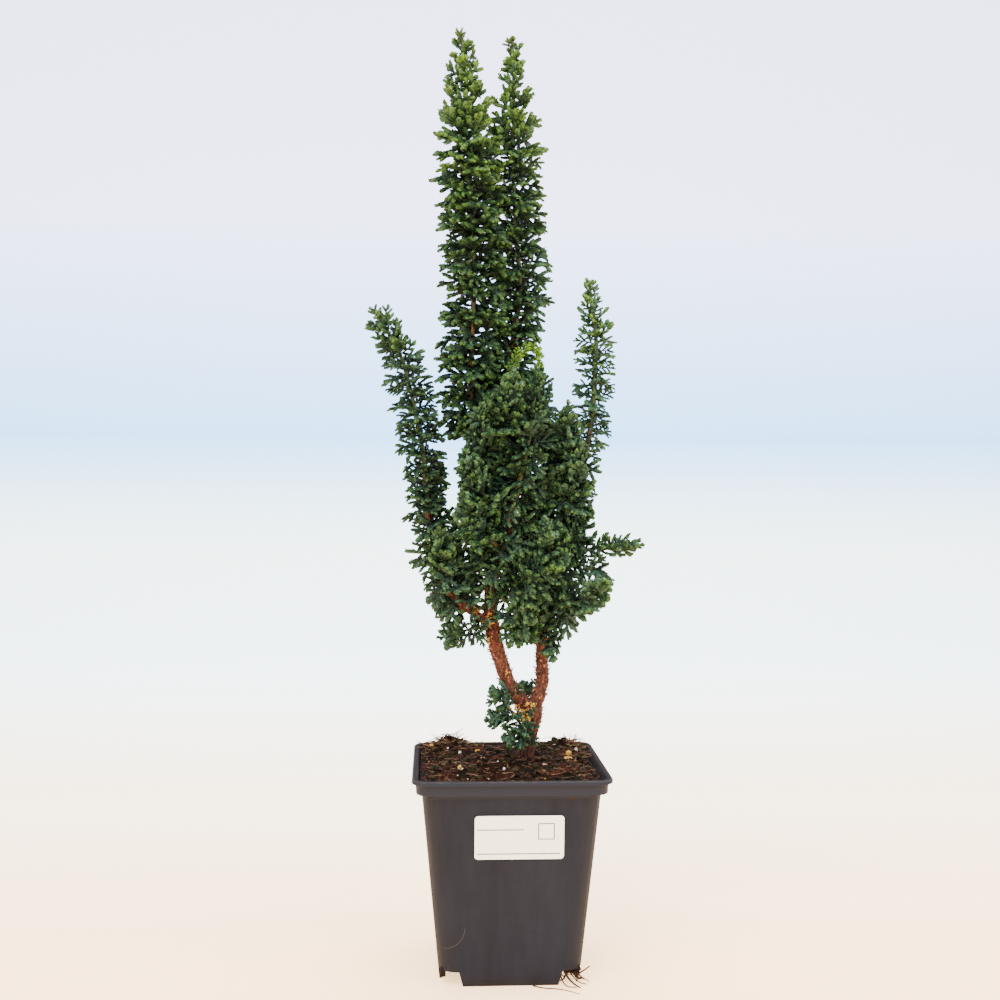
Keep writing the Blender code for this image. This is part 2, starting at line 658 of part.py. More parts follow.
def spray(place, length, draw_seed, grow=0.0, shorten=1.0):
    """Flat fan: a rachis that arches up, two pairs of blunt branchlets and one at the end."""
    draw = random.Random(draw_seed)
    length = length * shorten
    pairs = len(BRANCHLET_ANGLES)
    stretch = PAIRED_STRETCH * length / pairs
    bm = bmesh.new()
    square = (Matrix.Diagonal((RACHIS_WIDTH + 2 * grow, RACHIS_THICK + 2 * grow, 1, 1))
              @ Matrix.Rotation(math.radians(45), 4, "Z"))
    ring = bmesh.ops.create_circle(bm, cap_ends=True, radius=math.sqrt(0.5), segments=4, matrix=place @ square)
    end = ring["verts"][0].link_faces[0]
    frame = place
    bend = Matrix.Rotation(-SPRAY_ARCH / (pairs + 2), 4, "X")
    sway = Matrix.Rotation(draw.uniform(-SPRAY_SWAY, SPRAY_SWAY), 4, "Y")
    branchlets = []
    for index in range(pairs + 1):
        step = STALK * length if index == 0 else stretch
        following = frame @ bend @ sway @ Matrix.Translation((0, 0, step))
        end = extrude_by(bm, end, following @ Matrix.Diagonal((*RACHIS_TAPER, 1, 1)) @ frame.inverted())
        if index:
            middle = frame @ bend @ sway @ Matrix.Translation((0, 0, step / 2))
            branchlets.append((side_faces(bm, end, middle), middle, index - 1))
        frame = following
    tip = frame @ bend @ Matrix.Translation((0, 0, END_BRANCHLET * length + grow))
    flat = Matrix.Diagonal((END_FLARE, thinned(grow), 1, 1))
    extrude_by(bm, end, tip @ flat @ frame.inverted())
    for (right, left), middle, index in branchlets:
        for face, side in ((right, 1), (left, -1)):
            angle = math.radians(BRANCHLET_ANGLES[index]) + draw.uniform(-SPRAY_SWAY, SPRAY_SWAY)
            reach = BRANCHLET_LENGTHS[index] * length * (1 + draw.uniform(-1, 1) * BRANCHLET_VARIES)
            width = BRANCHLET_TAPER + 2 * grow / stretch
            add_branchlet(bm, face, middle, side, angle, reach, width, grow)
    bmesh.ops.remove_doubles(bm, verts=bm.verts, dist=0.001)
    return bm


def clear_spray(frame, core, azimuth, angles, length, seed, owner, stems, taken):
    """Find a way for one spray that crosses nothing, or nothing of another owner's."""
    draw = random.Random(seed)
    roll = math.radians(draw.uniform(-SPRAY_ROLL, SPRAY_ROLL))
    lean = draw.uniform(-SPRAY_LEAN, SPRAY_LEAN)
    for skip in ((), (owner,)):
        for angle, shorten in zip(angles, SHORTENED):
            for shift in SHIFTS:
                turned = azimuth + math.radians(shift)
                tilt = math.radians(max(4, angle + lean))
                inside = max(0.0, (core - ROOT_SUNK) / math.sin(tilt)) if angle > TIP_ANGLES[-1] else 0.0
                place = fan_placement(frame, turned, tilt, roll + shift / 90)
                place = place @ Matrix.Translation((0, 0, inside))
                room = spray(place, length, seed, GAP, shorten)
                low_enough = all(abs(vert.co.y) < DEPTH_LIMIT for vert in room.verts)
                noted = taken_by(owner, room)
                room.free()
                blocked = crosses(noted, stems, (owner,)) or crosses(noted, taken, skip)
                if low_enough and not blocked:
                    return spray(place, length, seed, 0.0, shorten)
    return None


# Leafy nodes

Shoot = namedtuple("Shoot", "name route stem core spray_lengths finish seed")


def core_radius(shoot, distance, total):
    """Radius of a shoot's core: a bare stem at the root, then full, then narrower to the tip."""
    start, full = CORE_SWELLS
    swell = min(1.0, max(0.0, (distance - start) / (full - start)))
    taper = min(1.0, (total - distance) / (CORE_TAPER * total))
    fullness = CORE_TIP + (shoot.core - CORE_TIP) * taper
    return shoot.stem + (fullness - shoot.stem) * swell


def leafy_core(shoot, grow=0.0):
    """Stem and ragged core of one shoot, as one tube."""
    lengths = route_lengths(shoot.route)
    widths = [core_radius(shoot, distance, lengths[-1]) + grow for distance in lengths]
    bm = sweep(shoot.route, widths, CORE_SIDES)
    draw = random.Random(shoot.seed)
    rings = [bm.verts[first:first + CORE_SIDES] for first in range(0, len(bm.verts), CORE_SIDES)]
    for ring, centre, width in list(zip(rings, shoot.route, widths))[1:]:
        ragged = CORE_RAGGED * (width - grow - shoot.stem) / max(shoot.core - shoot.stem, 0.1)
        for vert in ring:
            vert.co = centre + (vert.co - centre) * (1 + draw.uniform(-1, 1) * max(0.0, ragged))
    return bm


def spray_length(shoot, before_tip):
    """Sprays get shorter towards the tip of a shoot."""
    longest, shortest = shoot.spray_lengths
    return shortest + (longest - shortest) * min(1.0, before_tip / FULL_SPRAY_FROM)


def route_lengths(route):
    """Distance of each point of a route from its start."""
    lengths = [0.0]
    for start, end in zip(route, route[1:]):
        lengths.append(lengths[-1] + (end - start).length)
    return lengths


def frame_at(route, frames, lengths, distance):
    """Frame on a route at a distance from its start."""
    for index in range(len(route) - 1):
        if distance <= lengths[index + 1]:
            part = (distance - lengths[index]) / (lengths[index + 1] - lengths[index])
            point = route[index].lerp(route[index + 1], part)
            return Matrix.Translation(point) @ frames[index].to_3x3().to_4x4()
    return frames[-1]


def grow_sprays(shoot, index, stems, taken):
    """Place sprays round a stem by the golden angle, and one at its tip."""
    frames = frames_along(shoot.route)
    lengths = route_lengths(shoot.route)
    total = lengths[-1]
    leafy = total - 2 * FIRST_SPRAY
    count = max(1, round(leafy / SPRAY_SPACING))
    spots = [(total - TIP_SPRAY_SUNK, TIP_ANGLES)]
    spots += [(total - FIRST_SPRAY - leafy * step / count, SPRAY_ANGLES) for step in range(count)]
    grown = []
    for step, (distance, angles) in enumerate(spots):
        seed = SEED + 1000 * index + step
        length = spray_length(shoot, total - distance)
        frame = frame_at(shoot.route, frames, lengths, distance)
        azimuth = index + step * GOLDEN_ANGLE
        core = core_radius(shoot, distance, total)
        found = clear_spray(frame, core, azimuth, angles, length, seed, shoot.name, stems, taken)
        if found:
            taken.append(taken_by(shoot.name, found))
            grown.append(found)
    return grown


def leaders(limbs):
    """The leafy leaders that go on from the ends of the limbs."""
    found = []
    for name, (limb_name, points, core, lengths, finish) in LEADERS.items():
        before, end = limbs[limb_name].route[-2:]
        away = (end - before).normalized()
        route = [end + away * GAP, end + away * LEADER_STRAIGHT] + smooth_route(points, CORE_STEP)[1:]
        found.append(Shoot(name, route, LEADER_RADIUS, core, lengths, finish, SEED + len(found)))
    return found


def bush_half(widths, height):
    """Half width or depth of the bush at a height."""
    part = min(1.0, max(0.0, (height - BUSH_LOW) / (BUSH_HIGH - BUSH_LOW)))
    return widths[0] + (widths[1] - widths[0]) * part


def reach_to_edge(root, away, height):
    """Distance from a root along a level direction to the edge of the bush at a height."""
    across = bush_half(BUSH_HALF_WIDTHS, height)
    deep = bush_half(BUSH_HALF_DEPTHS, height)
    x, y = (root.x - BUSH_CENTRE[0]) / across, (root.y - BUSH_CENTRE[1]) / deep
    dx, dy = away.x / across, away.y / deep
    a, b, c = dx * dx + dy * dy, 2 * (x * dx + y * dy), x * x + y * y - 1
    inside = b * b - 4 * a * c
    return (-b + math.sqrt(inside)) / (2 * a) if inside > 0 else 0.0


def bush_route(limb, height, azimuth):
    """Route of a side shoot: out from its limb and then up, ending at the edge of the bush."""
    part = (height - BUSH_LOW) / (BUSH_ROOTS_HIGH - BUSH_LOW)
    climb = SHOOT_CLIMB[0] + (SHOOT_CLIMB[1] - SHOOT_CLIMB[0]) * part
    root, _ = at_height(limb.route, height)
    away = Vector((math.cos(azimuth), math.sin(azimuth), 0))
    reach = min(SHOOT_REACH[1], max(SHOOT_REACH[0], reach_to_edge(root, away, height + climb)))
    up = Vector((0, 0, climb))
    return [root + away * reach * across + up * rise for across, rise in SHOOT_CURVE]


def place_shoot(name, limb, height, ends, core, wood, stems):
    """Return the stub and the shoot that leave a limb, if both are clear of what is there."""
    stub, start, away = stub_and_start(limb, height, ends[0])
    points = [start, start + away * SHOOT_STRAIGHT]
    points += [end for end in ends if (end - start).dot(away) > 2 * SHOOT_STRAIGHT]
    route = smooth_route(points, CORE_STEP)
    shoot = Shoot(name, route, SHOOT_RADIUS, core, SHOOT_SPRAYS, LEAF, SEED + len(stems))
    grown = leafy_core(shoot, GAP)
    blocked = crosses(taken_by(name, grown), stems + wood, ()) or crosses(taken_by(name, stub), stems, ())
    grown.free()
    if blocked:
        stub.free()
        return None
    stems.append(taken_by(name, leafy_core(shoot)))
    return stub, shoot


def low_shoots(limbs, wood, stems):
    """The short shoots low on the wood, on hand-picked routes."""
    placed = []
    for name, (limb_name, height, points) in LOW_SHOOTS.items():
        ends = [Vector(point) for point in points]
        placed.append(place_shoot(name, limbs[limb_name], height, ends, LOW_CORE, wood, stems))
    return [found for found in placed if found]


def bush_shoots(limbs, wood, stems):
    """Side shoots up each limb, turned by the golden angle and then until they are clear."""
    placed = []
    turn = 0.0
    for limb_name, (lowest, highest, count) in BUSH_LIMBS.items():
        for index in range(count):
            turn += GOLDEN_ANGLE
            height = lowest + (highest - lowest) * index / max(1, count - 1)
            name = f"{limb_name}_shoot_{index + 1}"
            tries = [(core, shift) for core in BUSH_CORES for shift in TURNS]
            for core, shift in tries:
                ends = bush_route(limbs[limb_name], height, turn + math.radians(shift))
                found = place_shoot(name, limbs[limb_name], height, ends, core, wood, stems)
                if found:
                    placed.append(found)
                    break
    return placed


def make_tree():
    """Wood first, then every stem, then the sprays, each in room that is still free."""
    limbs = woody_limbs()
    wood = [tube(limb.route, limb.radii, limb.sides) for limb in limbs.values()]
    wood_room = [taken_by("wood", bm) for bm in wood]
    shoots = leaders(limbs)
    stems = [taken_by(shoot.name, leafy_core(shoot)) for shoot in shoots]
    side_shoots = low_shoots(limbs, wood_room, stems) + bush_shoots(limbs, wood_room, stems)
    for stub, shoot in side_shoots:
        wood_room.append(taken_by("wood", stub))
        wood.append(stub)
        shoots.append(shoot)
    add_node("trunk", combined([mesh_from(bm, "wood") for bm in wood], "UNION"), BARK)
    taken = list(wood_room)
    for index, shoot in enumerate(shoots):
        sprays = grow_sprays(shoot, index, stems, taken)
        meshes = [mesh_from(leafy_core(shoot), "core")]
        meshes += [mesh_from(bm, "spray") for bm in sprays]
        add_node(shoot.name, combined(meshes, "UNION"), shoot.finish)


def main():
    """Build every piece."""
    clear_scene()
    make_pot()
    make_label()
    surface = make_soil()
    make_soil_top(surface)
    make_tree()


main()
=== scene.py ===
"""A hinoki cypress bonsai in a square plastic nursery pot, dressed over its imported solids.

Shapes are made in millimetres, in the pot's own frame, and each finished piece is turned into
metres. The origin is the middle of the pot at the level of the table, +Z is up, and the label is
on the front of the pot, towards -Y.
"""

from __future__ import annotations

import logging
import math
import random
from dataclasses import dataclass, field, replace
from enum import Enum
from typing import Iterable, Sequence

import bmesh
import bpy
from mathutils import Matrix, Vector, noise


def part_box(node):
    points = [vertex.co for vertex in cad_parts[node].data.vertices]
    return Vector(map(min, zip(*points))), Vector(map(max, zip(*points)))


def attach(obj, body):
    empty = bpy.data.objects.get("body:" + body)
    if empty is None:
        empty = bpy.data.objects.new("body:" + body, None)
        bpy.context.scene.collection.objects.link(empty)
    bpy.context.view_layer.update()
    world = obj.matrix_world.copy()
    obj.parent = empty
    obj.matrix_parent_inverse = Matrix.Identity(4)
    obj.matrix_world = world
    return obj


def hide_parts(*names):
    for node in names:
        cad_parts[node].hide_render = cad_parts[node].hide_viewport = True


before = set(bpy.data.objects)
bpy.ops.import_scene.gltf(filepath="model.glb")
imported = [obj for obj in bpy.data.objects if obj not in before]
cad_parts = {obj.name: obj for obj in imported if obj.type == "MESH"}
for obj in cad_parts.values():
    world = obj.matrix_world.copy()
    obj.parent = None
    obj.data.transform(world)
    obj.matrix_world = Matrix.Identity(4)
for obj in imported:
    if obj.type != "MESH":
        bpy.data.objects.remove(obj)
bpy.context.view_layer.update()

METRES_PER_MM = 0.001
SEED = 41
GOLDEN_ANGLE = math.radians(137.5)
SMOOTH_ANGLE = math.radians(35)
BODY = "root"

log = logging.getLogger("bonsai")

Colour = tuple[float, float, float]
Point = tuple[float, float, float]


# Routes and tubes


def smooth_route(points: Sequence[Sequence[float]], step: float) -> list[Vector]:
    """Lay a smooth curve through points.

    Args:
        points: the points that it passes through, in millimetres.
        step: about how far apart the returned points are.

    Returns:
        Points along the curve, the first and last given ones included.
    """
    knots = [Vector(point) for point in points]
    knots = [knots[0] * 2 - knots[1]] + knots + [knots[-1] * 2 - knots[-2]]
    route = []
    for before, start, end, after in zip(knots, knots[1:], knots[2:], knots[3:]):
        count = max(1, round((end - start).length / step))
        for index in range(count):
            part = index / count
            route.append(0.5 * (2 * start + (end - before) * part
                                + (2 * before - 5 * start + 4 * end - after) * part ** 2
                                + (3 * start - before - 3 * end + after) * part ** 3))
    return route + [knots[-2]]


def frames_along(route: Sequence[Vector]) -> list[Matrix]:
    """Frame every point of a route, with Z along the route and no twist.

    Args:
        route: the points.

    Returns:
        One frame for each point.
    """
    turn = (route[1] - route[0]).to_track_quat("Z", "Y")
    frames = []
    for index, point in enumerate(route):
        ahead = route[min(index + 1, len(route) - 1)] - route[max(index - 1, 0)]
        turn = (turn @ Vector((0, 0, 1))).rotation_difference(ahead) @ turn
        frames.append(Matrix.Translation(point) @ turn.to_matrix().to_4x4())
    return frames


def distances(route: Sequence[Vector]) -> list[float]:
    """Measure along a route.

    Args:
        route: its points.

    Returns:
        The distance of each point from the start.
    """
    found = [0.0]
    for start, end in zip(route, route[1:]):
        found.append(found[-1] + (end - start).length)
    return found


def frame_at(route: Sequence[Vector], frames: Sequence[Matrix], lengths: Sequence[float],
             distance: float) -> Matrix:
    """Frame on a route.

    Args:
        route: its points.
        frames: the frame at each point.
        lengths: the distance of each point from the start.
        distance: how far along the frame is wanted.

    Returns:
        The frame there.
    """
    for index in range(len(route) - 1):
        if distance <= lengths[index + 1]:
            part = (distance - lengths[index]) / (lengths[index + 1] - lengths[index])
            point = route[index].lerp(route[index + 1], max(0.0, part))
            return Matrix.Translation(point) @ frames[index].to_3x3().to_4x4()
    return frames[-1].copy()


def at_height(route: Sequence[Vector], height: float) -> Vector:
    """Find where a rising route reaches a height.

    Args:
        route: its points.
        height: the height.

    Returns:
        The point there, or the last one if the route ends lower.
    """
    for start, end in zip(route, route[1:]):
        if start.z <= height <= end.z:
            return start.lerp(end, (height - start.z) / max(end.z - start.z, 1e-6))
    return route[-1].copy()


def limits_at(outline: Sequence[Point], height: float) -> tuple[float, float]:
    """Find how far left and right an outline reaches at a height.

    Args:
        outline: heights, upwards, each with its left and right limit.
        height: where the limits are wanted.

    Returns:
        The left and the right limit, endless where the outline says nothing.
    """
    for (low, *low_limits), (high, *high_limits) in zip(outline, outline[1:]):
        if low <= height < high:
            part = (height - low) / (high - low)
            left, right = (first + (last - first) * part for first, last in zip(low_limits, high_limits))
            return left, right
    return -math.inf, math.inf


def blend(first: float, last: float, share: float) -> float:
    """Blend one value into another."""
    return first + (last - first) * share


def scaled(shape: Point, size: float) -> Matrix:
    """Matrix that gives a mould a shape and a size."""
    return Matrix.Diagonal((*(part * size for part in shape), 1))


def extrude_by(bm: bmesh.types.BMesh, face: bmesh.types.BMFace, change: Matrix) -> bmesh.types.BMFace:
    """Extrude one face and move the new one.

    Args:
        bm: the mesh that holds it.
        face: the face.
        change: what moves the new face.

    Returns:
        The new face.
    """
    grown = bmesh.ops.extrude_face_region(bm, geom=[face])["geom"]
    corners = [item for item in grown if isinstance(item, bmesh.types.BMVert)]
    bmesh.ops.transform(bm, matrix=change, verts=corners)
    if all(len(edge.link_faces) > 2 for edge in face.edges):
        bmesh.ops.delete(bm, geom=[face], context="FACES_ONLY")
    return next(item for item in grown if isinstance(item, bmesh.types.BMFace))


def extrude_edges(bm: bmesh.types.BMesh, edges: list[bmesh.types.BMEdge]) -> tuple[list, list]:
    """Extrude edges in place.

    Args:
        bm: the bmesh.
        edges: some of its edges.

    Returns:
        The new points, and the new edges between them.
    """
    grown = bmesh.ops.extrude_edge_only(bm, edges=edges)["geom"]
    verts = [item for item in grown if isinstance(item, bmesh.types.BMVert)]
    return verts, [item for item in grown if isinstance(item, bmesh.types.BMEdge)]


def sweep(route: Sequence[Vector], radii: Sequence[float], sides: int) -> bmesh.types.BMesh:
    """Sweep a polygon along a route.

    Args:
        route: its points.
        radii: the radius at each point.
        sides: how many sides the polygon has.

    Returns:
        The closed tube.
    """
    frames = frames_along(route)
    bm = bmesh.new()
    ring = bmesh.ops.create_circle(bm, cap_ends=True, radius=radii[0], segments=sides, matrix=frames[0])
    end = ring["verts"][0].link_faces[0]
    for index in range(1, len(route)):
        scale = radii[index] / radii[index - 1]
        change = frames[index] @ Matrix.Diagonal((scale, scale, 1, 1)) @ frames[index - 1].inverted()
        end = extrude_by(bm, end, change)
    bmesh.ops.recalc_face_normals(bm, faces=bm.faces)
    return bm


def tapered(count: int, first: float, last: float) -> list[float]:
    """Evenly changing values from first to last."""
    return [first + (last - first) * index / (count - 1) for index in range(count)]


def mesh_of(bm: bmesh.types.BMesh, name: str) -> bpy.types.Mesh:
    """Write a bmesh to a new mesh and free it.

    Args:
        bm: the bmesh.
        name: the mesh's name.

    Returns:
        The mesh.
    """
    mesh = bpy.data.meshes.new(name)
    bm.to_mesh(mesh)
    bm.free()
    return mesh


def holding(mesh: bpy.types.Mesh) -> bpy.types.Object:
    """Put a mesh in the scene, for modifiers to work on.

    Args:
        mesh: the mesh.

    Returns:
        The object that holds it.
    """
    holder = bpy.data.objects.new(mesh.name, mesh)
    bpy.context.scene.collection.objects.link(holder)
    return holder


def modified(holder: bpy.types.Object) -> bpy.types.Mesh:
    """Take an object out of the scene and keep what its modifiers made.

    Args:
        holder: the object.

    Returns:
        The changed mesh.
    """
    view = bpy.context.evaluated_depsgraph_get()
    mesh = bpy.data.meshes.new_from_object(holder.evaluated_get(view))
    bpy.data.objects.remove(holder, do_unlink=True)
    return mesh


def make_piece(name: str, mesh: bpy.types.Mesh, finishes: Sequence[Finish],
               nodes: Iterable[str]) -> bpy.types.Object:
    """Turn a mesh in millimetres into a finished piece.

    Args:
        name: the piece's name.
        mesh: its mesh, in millimetres.
        finishes: its finishes, in the order of its faces' material numbers.
        nodes: the solids that it stands for.

    Returns:
        The object.
    """
    mesh.name = name
    mesh.transform(Matrix.Scale(METRES_PER_MM, 4))
    for finish in finishes:
        mesh.materials.append(finish.material())
    mesh.shade_smooth()
    mesh.set_sharp_from_angle(angle=SMOOTH_ANGLE)
    piece = bpy.data.objects.new(name, mesh)
    bpy.context.scene.collection.objects.link(piece)
    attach(piece, BODY)
    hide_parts(*nodes)
    log.info("%s: %d faces, for %s", name, len(mesh.polygons), ", ".join(nodes) or "nothing")
    return piece


class Gathering:
    """Copies of a few small meshes, gathered into one mesh."""

    def __init__(self) -> None:
        """Start with nothing."""
        self.bm = bmesh.new()

    def add(self, mesh: bpy.types.Mesh, place: Matrix, **marks: float) -> None:
        """Add a copy of a mesh.

        Args:
            mesh: what is copied.
            place: where the copy goes.
            marks: values that its points carry for the finish.
        """
        copied = mesh.copy()
        copied.transform(place)
        for mark, value in marks.items():
            layer = copied.attributes.get(mark) or copied.attributes.new(mark, "FLOAT", "POINT")
            layer.data.foreach_set("value", [value] * len(copied.vertices))
        self.bm.from_mesh(copied)
        bpy.data.meshes.remove(copied)

    def mesh(self, name: str) -> bpy.types.Mesh:
        """Return all of it as one mesh."""
        return mesh_of(self.bm, name)


# Finishes


class Shading:
    """A material's node tree, built step by step."""

    def __init__(self, name: str, roughness: float, specular: float = 0.5) -> None:
        """Start a material.

        Args:
            name: the material's name.
            roughness: of its surface, where nothing else sets it.
            specular: how strongly it mirrors light.
        """
        self.material = bpy.data.materials.new(name)
        self.material.use_nodes = True
        self.tree = self.material.node_tree
        self.shader = self.tree.nodes["Principled BSDF"]
        self.shader.inputs["Roughness"].default_value = roughness
        self.shader.inputs["Specular IOR Level"].default_value = specular
        self.coordinates = self._node("TexCoord").outputs["Object"]

    def _feed(self, socket: bpy.types.NodeSocket, value: object) -> None:
        """Give a socket what it reads.

        Args:
            socket: the socket.
            value: another socket to link it to, or a number or colour to set.
        """
        if isinstance(value, bpy.types.NodeSocket):
            self.tree.links.new(value, socket)
        elif isinstance(value, tuple) and len(value) == 3 and len(socket.default_value) == 4:
            socket.default_value = (*value, 1.0)
        else:
            socket.default_value = value

    def _node(self, kind: str) -> bpy.types.Node:
        """Add a node of a kind."""
        return self.tree.nodes.new(f"ShaderNode{kind}")

    def places(self) -> tuple[bpy.types.NodeSocket, ...]:
        """Read where each point of the object is.

        Returns:
            Its X, Y and Z, in metres.
        """
        made = self._node("SeparateXYZ")
        self._feed(made.inputs[0], self.coordinates)
        return tuple(made.outputs)

    def mapped(self, stretch: Point) -> bpy.types.NodeSocket:
        """Scale the object's coordinates.

        Args:
            stretch: the scale along each axis.

        Returns:
            The scaled coordinates.
        """
        mapping = self._node("Mapping")
        mapping.inputs["Scale"].default_value = stretch
        self._feed(mapping.inputs["Vector"], self.coordinates)
        return mapping.outputs["Vector"]

    def noise(self, size: float, detail: float = 3.0, stretch: Point = (1, 1, 1),
              roughness: float = 0.6) -> bpy.types.NodeSocket:
        """Cloudy noise.

        Args:
            size: about how large its spots are, in millimetres.
            detail: how many finer layers it has.
            stretch: how much finer it is along each axis.
            roughness: how strong the finer layers are.

        Returns:
            Its value, from 0 to 1.
        """
        made = self._node("TexNoise")
        made.inputs["Scale"].default_value = 1 / (size * METRES_PER_MM)
        made.inputs["Detail"].default_value = detail
        made.inputs["Roughness"].default_value = roughness
        self._feed(made.inputs["Vector"], self.mapped(stretch))
        return made.outputs["Fac"]

    def cells(self, size: float) -> bpy.types.NodeSocket:
        """Irregular cells.

        Args:
            size: about how large they are, in millimetres.

        Returns:
            The distance from the middle of each cell.
        """
        made = self._node("TexVoronoi")
        made.inputs["Scale"].default_value = 1 / (size * METRES_PER_MM)
        self._feed(made.inputs["Vector"], self.coordinates)
        return made.outputs["Distance"]

    def mark(self, name: str) -> bpy.types.NodeSocket:
        """Read a value that the mesh carries.

        Args:
            name: the value's name.

        Returns:
            The value.
        """
        made = self._node("Attribute")
        made.attribute_name = name
        return made.outputs["Fac"]

    def sums(self, operation: str, *values: object) -> bpy.types.NodeSocket:
        """Do one step of arithmetic.

        Args:
            operation: the Math node's name for it.
            values: the numbers or sockets that it works on.

        Returns:
            The result.
        """
        made = self._node("Math")
        made.operation = operation
        for socket, value in zip(made.inputs, values):
            self._feed(socket, value)
        return made.outputs["Value"]

    def product(self, first: object, *others: object) -> bpy.types.NodeSocket:
        """Multiply values.

        Args:
            first: a number or socket.
            others: what it is multiplied by.

        Returns:
            The product.
        """
        for other in others:
            first = self.sums("MULTIPLY", first, other)
        return first

    def between(self, value: bpy.types.NodeSocket, low: float, high: float) -> bpy.types.NodeSocket:
        """Tell where a coordinate lies between two places.

        Args:
            value: the coordinate, in metres.
            low: the one place, in millimetres.
            high: the other, in millimetres.

        Returns:
            1 between them and 0 elsewhere.
        """
        above = self.sums("GREATER_THAN", value, low * METRES_PER_MM)
        return self.product(above, self.sums("LESS_THAN", value, high * METRES_PER_MM))

    def stretched(self, value: bpy.types.NodeSocket, low: float, high: float, to_low: float = 0.0,
                  to_high: float = 1.0) -> bpy.types.NodeSocket:
        """Map a range of values onto another, held at its ends.

        Args:
            value: the value.
            low: the start of its range.
            high: the end of its range.
            to_low: what the start becomes.
            to_high: what the end becomes.

        Returns:
            The mapped value.
        """
        made = self._node("MapRange")
        for socket, part in zip(made.inputs, (value, low, high, to_low, to_high)):
            self._feed(socket, part)
        return made.outputs["Result"]

    def ramp(self, value: bpy.types.NodeSocket,
             stops: Sequence[tuple[float, Colour]]) -> bpy.types.NodeSocket:
        """Colours for a value.

        Args:
            value: from 0 to 1.
            stops: where each colour stands.

        Returns:
            The colour.
        """
        made = self._node("ValToRGB")
        elements = made.color_ramp.elements
        while len(elements) < len(stops):
            elements.new(1.0)
        for element, (position, colour) in zip(elements, stops):
            element.position = position
            element.color = (*colour, 1.0)
        self._feed(made.inputs["Fac"], value)
        return made.outputs["Color"]

    def mix(self, share: object, first: object, second: object, blend: str = "MIX") -> bpy.types.NodeSocket:
        """Blend two colours.

        Args:
            share: of the second.
            first: one colour.
            second: the other.
            blend: the way they are blended.

        Returns:
            The blend.
        """
        made = self._node("Mix")
        made.data_type = "RGBA"
        made.blend_type = blend
        self._feed(made.inputs["Factor"], share)
        self._feed(made.inputs[6], first)
        self._feed(made.inputs[7], second)
        return made.outputs[2]

    def colour(self, value: bpy.types.NodeSocket) -> None:
        """Set the surface's colour."""
        self._feed(self.shader.inputs["Base Color"], value)

    def rough(self, value: bpy.types.NodeSocket) -> None:
        """Set how rough the surface is."""
        self._feed(self.shader.inputs["Roughness"], value)

    def shine(self, colour: bpy.types.NodeSocket, strength: bpy.types.NodeSocket) -> None:
        """Let the surface give light of its own."""
        self._feed(self.shader.inputs["Emission Color"], colour)
        self._feed(self.shader.inputs["Emission Strength"], strength)

    def bump(self, height: bpy.types.NodeSocket, depth: float, strength: float = 1.0) -> None:
        """Raise the surface by a pattern, over any bump it has.

        Args:
            height: the pattern.
            depth: how deep it is, in millimetres.
            strength: how much of it shows.
        """
        made = self._node("Bump")
        made.inputs["Distance"].default_value = depth * METRES_PER_MM
        made.inputs["Strength"].default_value = strength
        self._feed(made.inputs["Height"], height)
        normal = self.shader.inputs["Normal"]
        if normal.links:
            self._feed(made.inputs["Normal"], normal.links[0].from_socket)
        self._feed(normal, made.outputs["Normal"])


@dataclass(frozen=True)
class Finish:
    """A finish with its own material, made once."""

    name: str

    def material(self) -> bpy.types.Material:
        """Return the material."""
        return bpy.data.materials.get(self.name) or self.make()

    def make(self) -> bpy.types.Material:
        """Make the material."""
        raise NotImplementedError


@dataclass(frozen=True)
class LeafFinish(Finish):
    """Scale leaves, from dark blue-green inside to yellow-green at fresh tips, with painted shade towards
    each twig's root and a painted highlight and painted shade on each scale.
    """

    shades: tuple[tuple[float, Colour], ...] = (
        (0.0, (0.004, 0.013, 0.007)),
        (0.22, (0.010, 0.033, 0.012)),
        (0.42, (0.029, 0.074, 0.017)),
        (0.68, (0.070, 0.147, 0.016)),
        (1.0, (0.15, 0.33, 0.006)),
    )
    underside: Colour = (0.040, 0.088, 0.060)
    rusty: Colour = (0.16, 0.068, 0.022)
    end_fresh_and_shade: tuple[float, float] = (-0.30, 0.31)  # fresh growth at a twig's outer end, painted shade at its inner end
    clouding: float = 0.22  # how much the shade wanders from place to place
    cloud_size: float = 9.0  # in millimetres
    own_tone: float = 0.12  # how much one spray differs from the next
    scale_size: float = 1.5  # in millimetres
    scale_highlight_and_shade: tuple[tuple[float, Colour], ...] = (  # painted highlight on a scale's middle, painted shade in the gap beside it
        (0.12, (1.62, 1.64, 1.68)),
        (0.72, (0.40, 0.41, 0.42)),
    )

    def make(self) -> bpy.types.Material:
        """Make the material."""
        shading = Shading(self.name, 0.55, 0.18)
        # fresh growth lightens twig tips; painted shade darkens twig roots
        tip_fresh_and_root_shade = shading.stretched(shading.mark("end"), 0.25, 1.0, *self.end_fresh_and_shade)
        fresh = shading.sums("ADD", shading.mark("fresh"), tip_fresh_and_root_shade)
        cloud = shading.noise(self.cloud_size, 2.0)
        cloud = shading.sums("MULTIPLY_ADD", cloud, self.clouding, -self.clouding / 2)
        shade = shading.sums("ADD", fresh, cloud)
        shade = shading.sums("MULTIPLY_ADD", shading.mark("tone"), self.own_tone, shade)
        base = shading.mix(shading.mark("silver"), shading.ramp(shade, self.shades), self.underside)
        base = shading.mix(shading.mark("rust"), base, self.rusty)
        scales = shading.cells(self.scale_size)
        # painted highlight on each scale's middle and painted shade in the gaps between scales
        shading.colour(shading.mix(0.9, base, shading.ramp(scales, self.scale_highlight_and_shade), "MULTIPLY"))
        shading.rough(shading.stretched(shading.noise(3.0), 0.3, 0.7, 0.42, 0.62))
        shading.bump(scales, 0.5, 0.8)
        return shading.material


